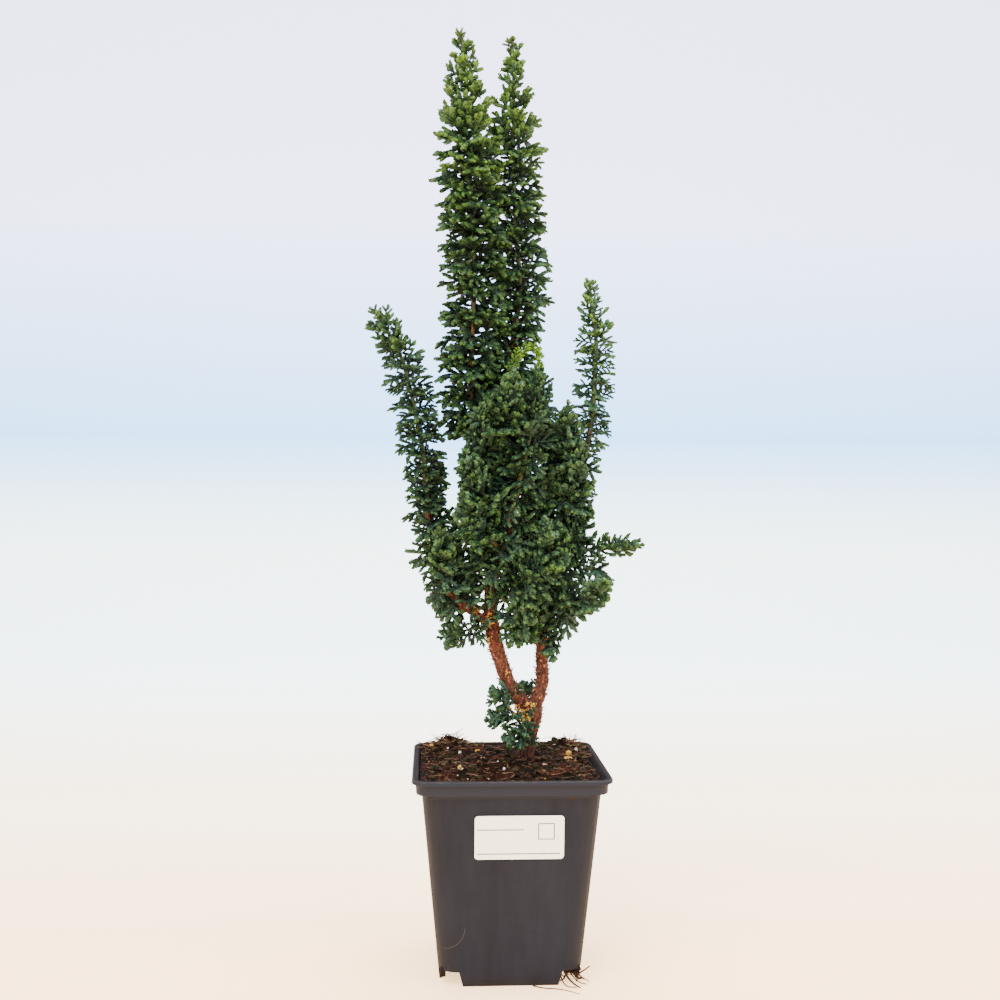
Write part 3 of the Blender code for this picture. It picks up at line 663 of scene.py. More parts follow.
@dataclass(frozen=True)
class StemFinish(Finish):
    """Young stems: red-brown, turning green towards a growing tip."""

    browns: tuple[tuple[float, Colour], ...] = (
        (0.25, (0.055, 0.026, 0.013)),
        (0.55, (0.13, 0.064, 0.028)),
        (0.8, (0.24, 0.13, 0.055)),
    )
    greens: tuple[tuple[float, Colour], ...] = ((0.3, (0.024, 0.046, 0.010)), (0.75, (0.062, 0.092, 0.020)))
    spot_size: float = 2.4  # in millimetres
    grain_size: float = 1.6

    def make(self) -> bpy.types.Material:
        """Make the material."""
        shading = Shading(self.name, 0.6, 0.35)
        spots = shading.noise(self.spot_size, 3.0, (1, 1, 0.35))
        brown, green = shading.ramp(spots, self.browns), shading.ramp(spots, self.greens)
        shading.colour(shading.mix(shading.mark("fresh"), brown, green))
        shading.bump(shading.noise(self.grain_size, 4.0, (1, 1, 0.4)), 0.5, 0.7)
        return shading.material


@dataclass(frozen=True)
class BarkFinish(Finish):
    """Red-brown bark that peels in small, paler flakes."""

    shades: tuple[tuple[float, Colour], ...] = (  # from deep cracks to the lightest flakes
        (0.32, (0.015, 0.006, 0.004)),
        (0.52, (0.072, 0.021, 0.013)),
        (0.74, (0.18, 0.062, 0.034)),
        (1.0, (0.30, 0.14, 0.085)),
    )
    fibre_size: float = 2.2  # in millimetres
    fine_size: float = 0.9
    on_flakes: float = 0.10  # how much lighter all flakes are
    own_tone: float = 0.42  # and how much more some of them are

    def make(self) -> bpy.types.Material:
        """Make the material."""
        shading = Shading(self.name, 0.82, 0.25)
        fibres = shading.noise(self.fibre_size, 5.0, (1.4, 1.4, 0.3), 0.7)
        fine = shading.noise(self.fine_size, 3.0, (1.2, 1.2, 0.45), 0.6)
        shade = shading.sums("MULTIPLY_ADD", shading.mark("flake"), self.on_flakes, fibres)
        shade = shading.sums("MULTIPLY_ADD", shading.mark("tone"), self.own_tone, shade)
        shade = shading.sums("MULTIPLY_ADD", fine, 0.5, shading.sums("SUBTRACT", shade, 0.25))
        shading.colour(shading.ramp(shade, self.shades))
        shading.bump(fibres, 1.2, 0.9)
        shading.bump(fine, 0.6, 0.8)
        return shading.material


@dataclass(frozen=True)
class CrumbFinish(Finish):
    """Loose crumbs and grains, each a little different, from one colour to another."""

    low: Colour
    high: Colour
    grain: float = 1.4  # in millimetres

    def make(self) -> bpy.types.Material:
        """Make the material."""
        shading = Shading(self.name, 0.9, 0.08)
        cloud = shading.noise(self.grain, 4.0)
        shade = shading.sums("MULTIPLY_ADD", shading.mark("tone"), 0.6, shading.product(cloud, 0.6))
        shading.colour(shading.ramp(shade, ((0.25, self.low), (0.85, self.high))))
        shading.bump(cloud, 0.6, 0.8)
        return shading.material


@dataclass(frozen=True)
class PeatFinish(Finish):
    """Moist peat: near black in its hollows, red-brown and fibrous between them, olive in places."""

    reds: tuple[tuple[float, Colour], ...] = (
        (0.38, (0.004, 0.0014, 0.0007)),
        (0.52, (0.019, 0.0058, 0.0030)),
        (0.62, (0.055, 0.015, 0.008)),
        (0.74, (0.12, 0.045, 0.022)),
    )
    olives: tuple[tuple[float, Colour], ...] = (
        (0.38, (0.003, 0.0022, 0.001)),
        (0.55, (0.011, 0.008, 0.0035)),
        (0.70, (0.035, 0.026, 0.011)),
    )
    patch_size: float = 17.0  # in millimetres
    broad_size: float = 14.0
    fine_size: float = 2.2

    def make(self) -> bpy.types.Material:
        """Make the material."""
        shading = Shading(self.name, 0.92, 0.06)
        fine = shading.noise(self.fine_size, 6.0, roughness=0.75)
        shade = shading.sums("MULTIPLY_ADD", shading.noise(self.broad_size), 0.5, shading.product(fine, 0.5))
        patches = shading.stretched(shading.noise(self.patch_size, 2.0), 0.46, 0.56)
        shading.colour(shading.mix(patches, shading.ramp(shade, self.reds), shading.ramp(shade, self.olives)))
        shading.bump(fine, 1.8)
        return shading.material


@dataclass(frozen=True)
class PlasticFinish(Finish):
    """Dark grey moulded plastic with dust, scuffs, water marks and specks of soil, darkened by soil and
    painted shade inside, on the rim and at the feet, and lightened along the lip by scuffing and a painted
    highlight.
    """

    clean: Colour = (0.0073, 0.0090, 0.0160)
    dusty: Colour = (0.0126, 0.0150, 0.0245)
    band: Colour = (0.0168, 0.0198, 0.0315)
    rim: Colour = (0.0170, 0.0150, 0.0150)
    # lighter lip: partly scuffing, partly a painted highlight on its edge
    lip_scuff_and_highlight: Colour = (0.050, 0.043, 0.038)
    # soil and painted shade, inside the pot, on the flat of the rim and at the feet
    soil_and_shade: Colour = (0.013, 0.007, 0.005)
    speck: Colour = (0.004, 0.003, 0.003)
    rusty: Colour = (0.05, 0.014, 0.008)
    band_level: tuple[float, float] = (0.1052, 0.1056)  # where the paler band begins, in metres
    lip_level: tuple[float, float] = (0.1150, 0.1160)
    stain_level: float = 0.090
    scratch: tuple[float, float, float] = (-37.2, 33.2, 11.7)  # its centre's X and Z and its radius
    scratch_width: float = 0.09
    scratch_colour: Colour = (0.055, 0.055, 0.058)

    def _scratch(self, shading: Shading, place: tuple[bpy.types.NodeSocket, ...]) -> bpy.types.NodeSocket:
        """Find the thin curved scratch low on the left of the front wall.

        Args:
            shading: the material being made.
            place: where each point of the pot is.

        Returns:
            1 on the scratch and 0 elsewhere.
        """
        centre_x, centre_z, radius = (value * METRES_PER_MM for value in self.scratch)
        across = shading.sums("SUBTRACT", place[0], centre_x)
        up = shading.sums("SUBTRACT", place[2], centre_z)
        squares = shading.sums("MULTIPLY_ADD", across, across, shading.product(up, up))
        off = shading.sums("ABSOLUTE", shading.sums("SUBTRACT", shading.sums("SQRT", squares), radius))
        line = shading.sums("LESS_THAN", off, self.scratch_width * METRES_PER_MM)
        right_of_centre = shading.sums("GREATER_THAN", across, 0.0)
        below_centre = shading.sums("LESS_THAN", up, 0.0)
        in_front = shading.sums("LESS_THAN", place[1], 0.0)
        return shading.product(line, right_of_centre, below_centre, in_front)

    def make(self) -> bpy.types.Material:
        """Make the material."""
        shading = Shading(self.name, 0.45, 0.09)
        place = shading.places()
        # 1 where soil and painted shade darken the pot
        inside = shading.mark("inside")
        streaks = shading.noise(5.0, 3.0, (1, 1, 0.06))
        cloud = shading.noise(38.0, 4.0, (1, 1, 0.6))
        dust = shading.sums("MULTIPLY_ADD", streaks, 0.35, shading.product(cloud, 0.65))
        at_lip = shading.stretched(place[2], *self.lip_level)
        # spots along the lip, partly scuffing and partly a painted highlight
        lip_scuff_and_highlight_spots = shading.stretched(shading.noise(3.0, 4.0), 0.3, 0.6)
        specks = shading.stretched(shading.noise(1.9, 2.0, (1, 1, 0.7)), 0.735, 0.76)
        stain = shading.stretched(shading.noise(7.0, 3.0, (1, 1, 0.5)), 0.68, 0.74)
        high_up = shading.sums("GREATER_THAN", place[2], self.stain_level)
        base = shading.mix(shading.stretched(dust, 0.38, 0.66), self.clean, self.dusty)
        for share, colour in (
            (shading.product(shading.stretched(place[2], *self.band_level), 0.6), self.band),
            (at_lip, self.rim),
            # the lip's painted highlight, mixed with scuffing
            (shading.product(at_lip, lip_scuff_and_highlight_spots, 0.8), self.lip_scuff_and_highlight),
            # soil and painted shade inside, on the rim and at the feet
            (shading.product(inside, 0.9), self.soil_and_shade),
            (specks, self.speck),
            (shading.product(stain, shading.sums("MULTIPLY_ADD", high_up, 0.6, 0.1)), self.rusty),
            (self._scratch(shading, place), self.scratch_colour),
        ):
            base = shading.mix(share, base, colour)
        shading.colour(base)
        shading.rough(shading.sums("MAXIMUM", shading.stretched(dust, 0.35, 0.7, 0.55, 0.72), inside))
        shading.bump(shading.noise(0.9), 0.06, 0.6)
        shading.bump(shading.noise(26.0, 2.0), 0.5, 0.35)
        return shading.material


@dataclass(frozen=True)
class StickerFinish(Finish):
    """White sticker with two plain ruled lines to write on and a small empty box."""

    paper: Colour = (0.99, 0.97, 0.965)
    aged: Colour = (0.96, 0.93, 0.925)
    ink: Colour = (0.05, 0.05, 0.055)
    lines: tuple[Point, ...] = ((-19.5, 6.0, 88.4), (-19.5, 26.0, 75.0))  # ends and level of each
    line_width: float = 0.6
    box: Point = (18.4, 87.4, 4.6)  # its middle's X and Z and half its side

    def _block(self, shading: Shading, across: tuple[float, float],
               up: tuple[float, float]) -> bpy.types.NodeSocket:
        """Mark a rectangle on the sticker.

        Args:
            shading: the material being made.
            across: its left and right side, in millimetres.
            up: its lower and upper side.

        Returns:
            1 inside it and 0 elsewhere.
        """
        x, _, z = shading.places()
        return shading.product(shading.between(x, *across), shading.between(z, *up))

    def _square(self, shading: Shading, half: float) -> bpy.types.NodeSocket:
        """Mark a square round the middle of the box, of half a side in millimetres."""
        x, z, _ = self.box
        return self._block(shading, (x - half, x + half), (z - half, z + half))

    def make(self) -> bpy.types.Material:
        """Make the material."""
        shading = Shading(self.name, 0.38, 0.5)
        outer, inner = (self._square(shading, self.box[2] - inset) for inset in (0.0, self.line_width))
        printed = shading.sums("SUBTRACT", outer, inner)
        half = self.line_width / 2
        for left, right, level in self.lines:
            line = self._block(shading, (left, right), (level - half, level + half))
            printed = shading.sums("MAXIMUM", printed, line)
        paper = shading.mix(shading.stretched(shading.noise(12.0), 0.35, 0.7), self.paper, self.aged)
        shading.colour(shading.mix(printed, paper, self.ink))
        shading.bump(shading.noise(1.2), 0.04, 0.4)
        return shading.material


@dataclass(frozen=True)
class StudioFinish(Finish):
    """Plain matt paper of the floor and the sweep behind it, which glows softly far behind."""

    floor: Colour = (1.0, 0.66, 0.36)
    mist: Colour = (0.88, 1.0, 0.95)
    sky: Colour = (0.27, 0.58, 0.98)
    top: Colour = (0.66, 0.71, 0.98)
    glow: tuple[float, float] = (2.2, 2.5)
    height: float = 1.6  # in metres, of the painted part
    floor_ends: float = 1.1  # distance behind the plant, in metres
    glow_from: tuple[float, float] = (0.3, 1.5)

    def make(self) -> bpy.types.Material:
        """Make the material."""
        shading = Shading(self.name, 0.95, 0.1)
        _, away, height = shading.places()
        stops = ((0.0, self.mist), (0.10, self.mist), (0.26, self.sky), (0.62, self.top))
        wall = shading.ramp(shading.stretched(height, 0.0, self.height), stops)
        paper = shading.mix(shading.stretched(away, 0.0, self.floor_ends), self.floor, wall)
        shading.colour(paper)
        shading.shine(paper, shading.stretched(away, *self.glow_from, *self.glow))
        return shading.material


LEAF = LeafFinish("scale_leaves")
STEM = StemFinish("young_stem")
BARK = BarkFinish("flaky_bark")
PEAT = PeatFinish("moist_peat")
PEAT_CRUMB = CrumbFinish("peat_crumb", (0.004, 0.0016, 0.0009), (0.085, 0.025, 0.012))
PEAT_CLOD = CrumbFinish("peat_clod", (0.003, 0.0016, 0.0008), (0.034, 0.020, 0.009))
FIBRE = CrumbFinish("peat_fibre", (0.004, 0.002, 0.001), (0.19, 0.105, 0.058))
ROOT = CrumbFinish("dark_root", (0.010, 0.005, 0.004), (0.055, 0.024, 0.016))
PERLITE = CrumbFinish("perlite_grain", (0.42, 0.38, 0.31), (0.86, 0.82, 0.72), 1.0)
FERTILISER = CrumbFinish("fertiliser_crumb", (0.24, 0.075, 0.008), (0.62, 0.34, 0.07), 0.9)
RESIN = CrumbFinish("pale_crumb", (0.26, 0.085, 0.010), (0.62, 0.36, 0.075), 0.8)
CHIP = CrumbFinish("wood_chip_grain", (0.13, 0.06, 0.03), (0.42, 0.25, 0.13), 1.2)
MOSS = CrumbFinish("moss_tuft", (0.015, 0.022, 0.004), (0.13, 0.14, 0.03), 0.8)
PLASTIC = PlasticFinish("pot_plastic_scuffed_and_painted_light")
STICKER = StickerFinish("sticker_paper")
STUDIO = StudioFinish("studio_paper")


# Foliage


class SprayAge(Enum):
    """How a spray stands: a young one climbs, an old one droops."""

    BUD = "bud"
    YOUNG = "young"
    GROWN = "grown"
    OLD = "old"


@dataclass(frozen=True)
class SprayShape:
    """How one kind of spray is laid out."""

    length: float  # in millimetres
    twigs: int  # on its two sides together
    bare: float  # share of its length before the first twig
    reach: float  # of its longest twig, as a share of its length
    arch: float  # degrees that it bends towards its upper side
    cup: float  # how far its sides stand up, per square millimetre
    angles: tuple[float, float]


@dataclass
class SprayMoulds:
    """A few sprays of each age, each a fan of lobed twigs, for every shoot to copy."""

    variants: int = 4
    rib_width: float = 1.6
    rib_share: float = 0.7  # of the spray's length
    twigs_end: float = 0.72  # share of its length at the last side twig
    tip_start: float = 0.60  # and where the twig at its tip starts
    tip_share: float = 0.42
    twig_spread: float = 8.0  # degrees by which a twig's angle varies either way
    twig_length: float = 9.0
    twig_width: float = 2.1
    twig_kinds: int = 5
    lobes: int = 4  # on each side of a twig
    lobe_length: float = 2.15
    lobe_width: float = 1.75
    lobe_angle: float = 38.0
    lobe_spread: float = 9.0  # degrees by which it varies either way
    lobe_pitches: tuple[float, float] = (-28.0, 18.0)
    flatness: float = 0.85
    shapes: dict[SprayAge, SprayShape] = field(default_factory=lambda: {
        SprayAge.BUD: SprayShape(8.0, 4, 0.20, 0.54, 16, 0.02, (54, 36)),
        SprayAge.YOUNG: SprayShape(13.0, 5, 0.14, 0.52, 30, 0.012, (56, 36)),
        SprayAge.GROWN: SprayShape(18.0, 6, 0.10, 0.52, -34, 0.010, (58, 38)),
        SprayAge.OLD: SprayShape(18.5, 6, 0.10, 0.52, -66, -0.008, (60, 38)),
    })
    made: dict[SprayAge, list[bpy.types.Mesh]] = field(default_factory=dict)

    def finger(self, beads: Sequence[tuple[float, float]], sides: int) -> bpy.types.Mesh:
        """Blunt finger one millimetre long and wide.

        Args:
            beads: how far along each ring lies, and its radius.
            sides: how many sides it has.

        Returns:
            The mesh, whose points carry how far along they lie.
        """
        bm = bmesh.new()
        flat = Matrix.Diagonal((1, self.flatness, 1, 1))
        ring = bmesh.ops.create_circle(bm, cap_ends=True, radius=beads[0][1] / 2, segments=sides, matrix=flat)
        end = ring["verts"][0].link_faces[0]
        for (before, old), (after, new) in zip(beads, beads[1:]):
            grown = Matrix.Translation((0, 0, after)) @ Matrix.Diagonal((new / old, new / old, 1, 1))
            end = extrude_by(bm, end, grown @ Matrix.Translation((0, 0, -before)))
        bmesh.ops.recalc_face_normals(bm, faces=bm.faces)
        return self._marked(bm)

    def scale(self) -> bpy.types.Mesh:
        """Pointed scale leaf one millimetre long and wide.

        Returns:
            The mesh, whose points carry how far along they lie.
        """
        bm = bmesh.new()
        bmesh.ops.create_cone(bm, cap_ends=True, segments=3, radius1=0.5, radius2=0.0, depth=1.0,
                              matrix=Matrix.Translation((0, 0, 0.5)))
        return self._marked(bm)

    def _marked(self, bm: bmesh.types.BMesh) -> bpy.types.Mesh:
        """Make each point of a mould carry how far along it lies.

        Args:
            bm: the mould, one millimetre long along Z.

        Returns:
            Its mesh.
        """
        layer = bm.verts.layers.float.new("end")
        for vert in bm.verts:
            vert[layer] = vert.co.z
        return mesh_of(bm, "mould")

    def twig(self, draw: random.Random) -> bpy.types.Mesh:
        """One twig, with short pointed lobes in turn on either side.

        Args:
            draw: the random source.

        Returns:
            The mesh, along Z and flat across Y.
        """
        gathering = Gathering()
        gathering.add(self.core, Matrix.Diagonal((self.twig_width, self.twig_width, self.twig_length, 1)))
        count = 2 * self.lobes
        for index in range(count):
            part = 0.08 + 0.80 * index / (count - 1)
            side = 1 if index % 2 else -1
            turn = side * math.radians(self.lobe_angle + draw.uniform(-self.lobe_spread, self.lobe_spread))
            pitch = math.radians(draw.choice(self.lobe_pitches) + draw.uniform(-8, 8))
            place = (Matrix.Translation((0, 0, self.twig_length * part)) @ Matrix.Rotation(turn, 4, "Y")
                     @ Matrix.Rotation(pitch, 4, "X"))
            size = self.lobe_length * (1.08 - 0.45 * part * part) * draw.uniform(0.85, 1.15)
            gathering.add(self.lobe, place @ Matrix.Diagonal((self.lobe_width, self.lobe_width, size, 1)))
        mesh = gathering.mesh("twig")
        self._mark_tip_nearness(mesh, self.twig_length, 0.5)
        return mesh

    def _mark_tip_nearness(self, mesh: bpy.types.Mesh, length: float, share: float) -> None:
        """Blend how near each point is to its own end with how far out it is; the leaf finish lightens fresh
        tips and paints shade at twig roots from it.

        Args:
            mesh: the twig or spray.
            length: how far out counts as the very end.
            share: how much that counts in the blend.
        """
        ends = mesh.attributes["end"].data
        for vert, end in zip(mesh.vertices, ends):
            end.value = (1 - share) * end.value + share * min(1.0, vert.co.length / length)

    def spray(self, shape: SprayShape, twigs: Sequence[bpy.types.Mesh],
              draw: random.Random) -> bpy.types.Mesh:
        """One fan of twigs, flat at first and then arched and cupped.

        Args:
            shape: its layout.
            twigs: the twigs to copy.
            draw: the random source.

        Returns:
            The mesh: Z along the spray, Y out of its upper side.
        """
        fan = Gathering()
        length = shape.length
        fan.add(self.core, Matrix.Diagonal((self.rib_width, self.rib_width, self.rib_share * length, 1)))
        for index in range(shape.twigs):
            part = index / (shape.twigs - 1)
            side = 1 if index % 2 else -1
            swell = math.sin(math.pi * (0.28 + 0.54 * part))
            reach = length * shape.reach * swell * draw.uniform(0.85, 1.12)
            angle = blend(*shape.angles, part) + draw.uniform(-self.twig_spread, self.twig_spread)
            place = (Matrix.Translation((0, 0, length * blend(shape.bare, self.twigs_end, part)))
                     @ Matrix.Rotation(side * math.radians(angle), 4, "Y")
                     @ Matrix.Rotation(math.radians(draw.uniform(-28, 16)), 4, "X"))
            self._put(fan, draw.choice(twigs), place, reach, draw)
        turn = Matrix.Rotation(draw.uniform(-0.2, 0.2), 4, "Y")
        tip = Matrix.Translation((0, 0, length * self.tip_start)) @ turn
        self._put(fan, draw.choice(twigs), tip, length * self.tip_share, draw)
        mesh = fan.mesh("spray")
        self._mark_tip_nearness(mesh, length, 0.45)
        self._bend(mesh, shape)
        return mesh

    def _put(self, fan: Gathering, twig: bpy.types.Mesh, place: Matrix, reach: float,
             draw: random.Random) -> None:
        """Add a twig of a length in millimetres."""
        across = draw.uniform(0.95, 1.18)
        fan.add(twig, place @ Matrix.Diagonal((across, across, reach / self.twig_length, 1)))

    def _bend(self, mesh: bpy.types.Mesh, shape: SprayShape) -> None:
        """Arch a spray along its length and cup it across.

        Args:
            mesh: the spray, still flat.
            shape: its layout.
        """
        radius = shape.length / math.radians(shape.arch)
        for vert in mesh.vertices:
            x, y, z = vert.co
            y += shape.cup * x * x
            angle = z / radius
            vert.co = (x, radius * (1 - math.cos(angle)) + y * math.cos(angle),
                       radius * math.sin(angle) - y * math.sin(angle))

    def make(self) -> None:
        """Make the moulds."""
        self.core = self.finger(((0.0, 0.62), (0.55, 1.0), (0.88, 0.84), (1.0, 0.45)), 4)
        self.lobe = self.scale()
        draw = random.Random(SEED)
        twigs = [self.twig(draw) for _ in range(self.twig_kinds)]
        for age, shape in self.shapes.items():
            self.made[age] = [self.spray(shape, twigs, draw) for _ in range(self.variants)]


@dataclass(frozen=True)
class Shoot:
    """A leafy stem: its route, and how its sprays change from its tip to its root."""

    points: tuple[Point, ...]
    stem: tuple[float, ...] = (1.3, 0.7)  # radius at its root and tip, none along a limb
    lengths: tuple[float, float] = (19.0, 10.0)  # of its sprays, far from its tip and at it
    growth: float = 30.0  # distance from the tip to the first full-length spray
    spacing: tuple[float, float] = (2.3, 2.0)  # of its sprays, far from its tip and at it
    angles: tuple[float, float] = (70.0, 30.0)  # degrees from the stem, far from its tip and at it
    fresh: tuple[float, float] = (0.16, 0.34)  # how fresh it is, far from its tip and at it
    fading: float = 40.0  # distance from the tip over which it fades
    bare: float = 0.0  # from its root to its first spray
    old_from: float = 60.0  # distance from the tip where sprays begin to droop
    silver: float = 0.03  # how much of the pale underside shows
    green_from: float = 2.0  # share of the stem where it begins to turn green
    rust: float = 0.0  # how brown the few sprays at its very tip are
    outline: tuple[Point, ...] = ()  # height, and its sprays' limits left and right there

    def at(self, values: tuple[float, float], share: float) -> float:
        """Blend from the value at the tip to the one far from it."""
        return blend(values[1], values[0], share)


@dataclass
class Foliage:
    """All the leafy pieces."""

    moulds: SprayMoulds
    stem_sides: int = 6
    sway: float = 20.0  # degrees by which a spray's angle varies either way
    roll: float = 56.0  # degrees by which it turns about itself either way
    shortest: float = 0.5  # share that a trimmed spray has to keep of its length
    tip_angle: float = 6.0  # degrees from the stem of the spray at the very tip
    around: float = 0.25  # radians by which the turn to the next spray varies
    rusty_tip: float = 4.0  # length of the tip that may be brown
    drooping: float = 0.6  # share of the sprays far from the tip that droop

    def grow(self, gathering: Gathering, shoot: Shoot, seed: int) -> int:
        """Grow one shoot.

        Args:
            gathering: what it is added to.
            shoot: the shoot.
            seed: for its draws.

        Returns:
            How many sprays it has.
        """
        draw = random.Random(seed)
        route = smooth_route(shoot.points, 6.0)
        frames = frames_along(route)
        lengths = distances(route)
        total = lengths[-1]
        if shoot.stem:
            self._stem(gathering, shoot, route, lengths)
        azimuth = draw.uniform(0, math.tau)
        distance = total - 0.5
        count = 0
        while distance > shoot.bare:
            before_tip = total - distance
            full = min(1.0, before_tip / shoot.growth)
            faded = min(1.0, before_tip / shoot.fading)
            length = shoot.at(shoot.lengths, full) * draw.uniform(0.82, 1.12)
            angle = shoot.at(shoot.angles, full) + draw.uniform(-self.sway, self.sway)
            if count == 0:
                angle = self.tip_angle
            place = frame_at(route, frames, lengths, distance)
            place = place @ Matrix.Rotation(azimuth, 4, "Z") @ Matrix.Rotation(math.radians(angle), 4, "Y")
            place = place @ Matrix.Rotation(math.radians(90 + draw.uniform(-self.roll, self.roll)), 4, "Z")
            azimuth += GOLDEN_ANGLE + draw.uniform(-self.around, self.around)
            distance -= shoot.at(shoot.spacing, full)
            share = self._trimmed(place, length, shoot.outline)
            if share < self.shortest:
                continue
            age = self._age(shoot, before_tip, draw)
            place = place @ Matrix.Scale(share * length / self.moulds.shapes[age].length, 4)
            mould = draw.choice(self.moulds.made[age])
            silver = shoot.silver * draw.uniform(0.0, 2.0)
            rust = shoot.rust if before_tip < self.rusty_tip else 0.0
            fresh = shoot.at(shoot.fresh, faded) * draw.uniform(0.8, 1.2)
            gathering.add(mould, place, fresh=fresh, tone=draw.random(), silver=silver, rust=rust)
            count += 1
        return count

    def _trimmed(self, place: Matrix, length: float, outline: Sequence[Point]) -> float:
        """Find how much of a spray stays inside the outline of the bush.

        Args:
            place: where the spray starts and which way it points.
            length: of the spray.
            outline: height, left and right limit, upwards; nothing is trimmed when there is none.

        Returns:
            The share of its length that may stay.
        """
        start, end = place.translation, place @ Vector((0, 0, length))
        left, right = limits_at(outline, end.z)
        if end.x < left:
            return (start.x - left) / (start.x - end.x) if start.x > left else 0.0
        if end.x > right:
            return (right - start.x) / (end.x - start.x) if start.x < right else 0.0
        return 1.0

    def _age(self, shoot: Shoot, before_tip: float, draw: random.Random) -> SprayAge:
        """Choose a spray's age.

        Args:
            shoot: what it grows on.
            before_tip: its distance from the tip.
            draw: the random source.

        Returns:
            The age.
        """
        if before_tip < 0.35 * shoot.growth:
            return SprayAge.BUD if draw.random() < 0.6 else SprayAge.YOUNG
        if before_tip < shoot.growth:
            return SprayAge.YOUNG
        if before_tip < shoot.old_from:
            return SprayAge.GROWN
        return SprayAge.OLD if draw.random() < self.drooping else SprayAge.GROWN

    def _stem(self, gathering: Gathering, shoot: Shoot, route: list[Vector], lengths: list[float]) -> None:
        """Add the stem of a shoot.

        Args:
            gathering: what it is added to.
            shoot: the shoot.
            route: the points along it.
            lengths: the distance of each from its root.
        """
        radii = tapered(len(route), *shoot.stem)
        bm = sweep(route, radii, self.stem_sides)
        for face in bm.faces:
            face.material_index = 1
        mesh = mesh_of(bm, "stem")
        green = mesh.attributes.new("fresh", "FLOAT", "POINT")
        shares = [lengths[index // self.stem_sides] / lengths[-1] for index in range(len(mesh.vertices))]
        greens = [min(1.0, max(0.0, (share - shoot.green_from) / 0.3)) for share in shares]
        green.data.foreach_set("value", greens)
        gathering.add(mesh, Matrix.Identity(4), tone=0.5, silver=0.0, rust=0.0)

    def piece(self, name: str, shoots: Sequence[Shoot], slot: str, nodes: Sequence[str], seed: int) -> None:
        """Build one leafy piece.

        Args:
            name: the piece's name.
            shoots: what it grows.
            slot: not used.
            nodes: the solids that it stands for.
            seed: for its draws.
        """
        gathering = Gathering()
        sprays = sum(self.grow(gathering, shoot, seed * 100 + index) for index, shoot in enumerate(shoots))
        make_piece(name, gathering.mesh(name), (LEAF, STEM), nodes)
        log.info("%s has %d sprays", name, sprays)


@dataclass
class Spires:
    """The leafy leaders that rise out of the bush, and the level twig at the right."""

    tall: Shoot = Shoot(
        (), stem=(1.9, 1.0), lengths=(22.0, 7.5), growth=60.0, spacing=(0.95, 2.3), angles=(72.0, 46.0),
        fresh=(0.14, 0.47), fading=115.0, old_from=80.0, green_from=0.2, rust=0.1)
    nodding: Shoot = Shoot(  # the bright tip that nods over the front spire
        ((4, -19, 316), (-0.5, -23, 332), (-0.5, -24, 341), (3.5, -24.5, 349.0), (8.5, -24.5, 353.0),
         (13, -24.5, 351.5), (14.5, -24, 345.0)),
        stem=(0.9, 0.6), lengths=(5.2, 4.0), growth=10.0, spacing=(0.6, 0.6), angles=(34.0, 24.0),
        fresh=(0.46, 0.80), fading=34.0, bare=14.0, silver=0.0, green_from=-0.3)
    leaders: dict[str, dict[str, object]] = field(default_factory=lambda: {
        "left_spire": dict(
            points=((-18.6, 2, 304), (-22.4, 2, 325.8), (-22.6, 1.4, 345), (-21.1, 0, 395.4),
                    (-22.6, 0, 441.9), (-26.4, 0, 484), (-26.5, 0, 510), (-29.2, 0, 535)),
            lengths=(22.0, 8.0)),
        "middle_spire": dict(
            points=((-8.4, 8.5, 306), (-1.2, 12, 344), (5.5, 12, 380.8), (6.2, 12, 402), (2.8, 12, 445.3),
                    (2.2, 12, 489.8), (2.1, 11, 510), (1.2, 10, 535)),
            lengths=(19.5, 8.0)),
        "right_spire": dict(
            points=((46.2, 12, 294), (50.4, 12, 319.6), (51.4, 12, 342), (52.0, 12, 367), (47.9, 12, 394)),
            lengths=(13.5, 8.0), growth=30.0, spacing=(1.05, 2.1), fresh=(0.26, 0.54), rust=0.05, fading=60.0,
            old_from=70.0, silver=0.28, green_from=0.0),
        "far_left_spire": dict(
            points=((-47.1, -2, 258.6), (-48.9, -0.5, 284.7), (-52.6, 0, 307.9), (-58.8, 0, 335.7),
                    (-65.2, 0, 355), (-75.5, 0, 372)),
            lengths=(15.5, 10.0), growth=26.0, spacing=(1.0, 1.4), fresh=(0.14, 0.38), rust=0.05, fading=38.0,
            old_from=55.0, silver=0.12, green_from=0.0),
        "front_spire": dict(
            points=((1.6, -13.4, 262), (6.2, -18, 284.6), (10.8, -21, 308), (12.2, -22, 322),
                    (13.2, -21.4, 334)),
            lengths=(18.0, 9.0), growth=36.0, spacing=(1.1, 1.4), fresh=(0.09, 0.16), rust=0.0, fading=30.0,
            old_from=40.0, silver=0.2, green_from=0.0),
        "right_twig": dict(
            points=((30.5, 5.4, 233.4), (42, 2, 237.6), (54, 0, 240.2), (70, -2, 240.8)),
            stem=(1.3, 0.7), lengths=(13.0, 9.5), growth=26.0, spacing=(1.4, 1.5), angles=(62.0, 32.0),
            fresh=(0.2, 0.32), rust=0.0, fading=30.0, silver=0.2, green_from=0.0),
    })

    def build(self, foliage: Foliage) -> None:
        """Build each spire as its own piece.

        Args:
            foliage: what grows them.
        """
        for index, (node, own) in enumerate(self.leaders.items()):
            shoots = [replace(self.tall, **own)]
            if node == "front_spire":
                shoots.append(self.nodding)
            slot = "leaf" if node == "right_twig" else "fresh_leaf"
            foliage.piece(f"{node}_foliage", shoots, slot, [node], SEED + index)


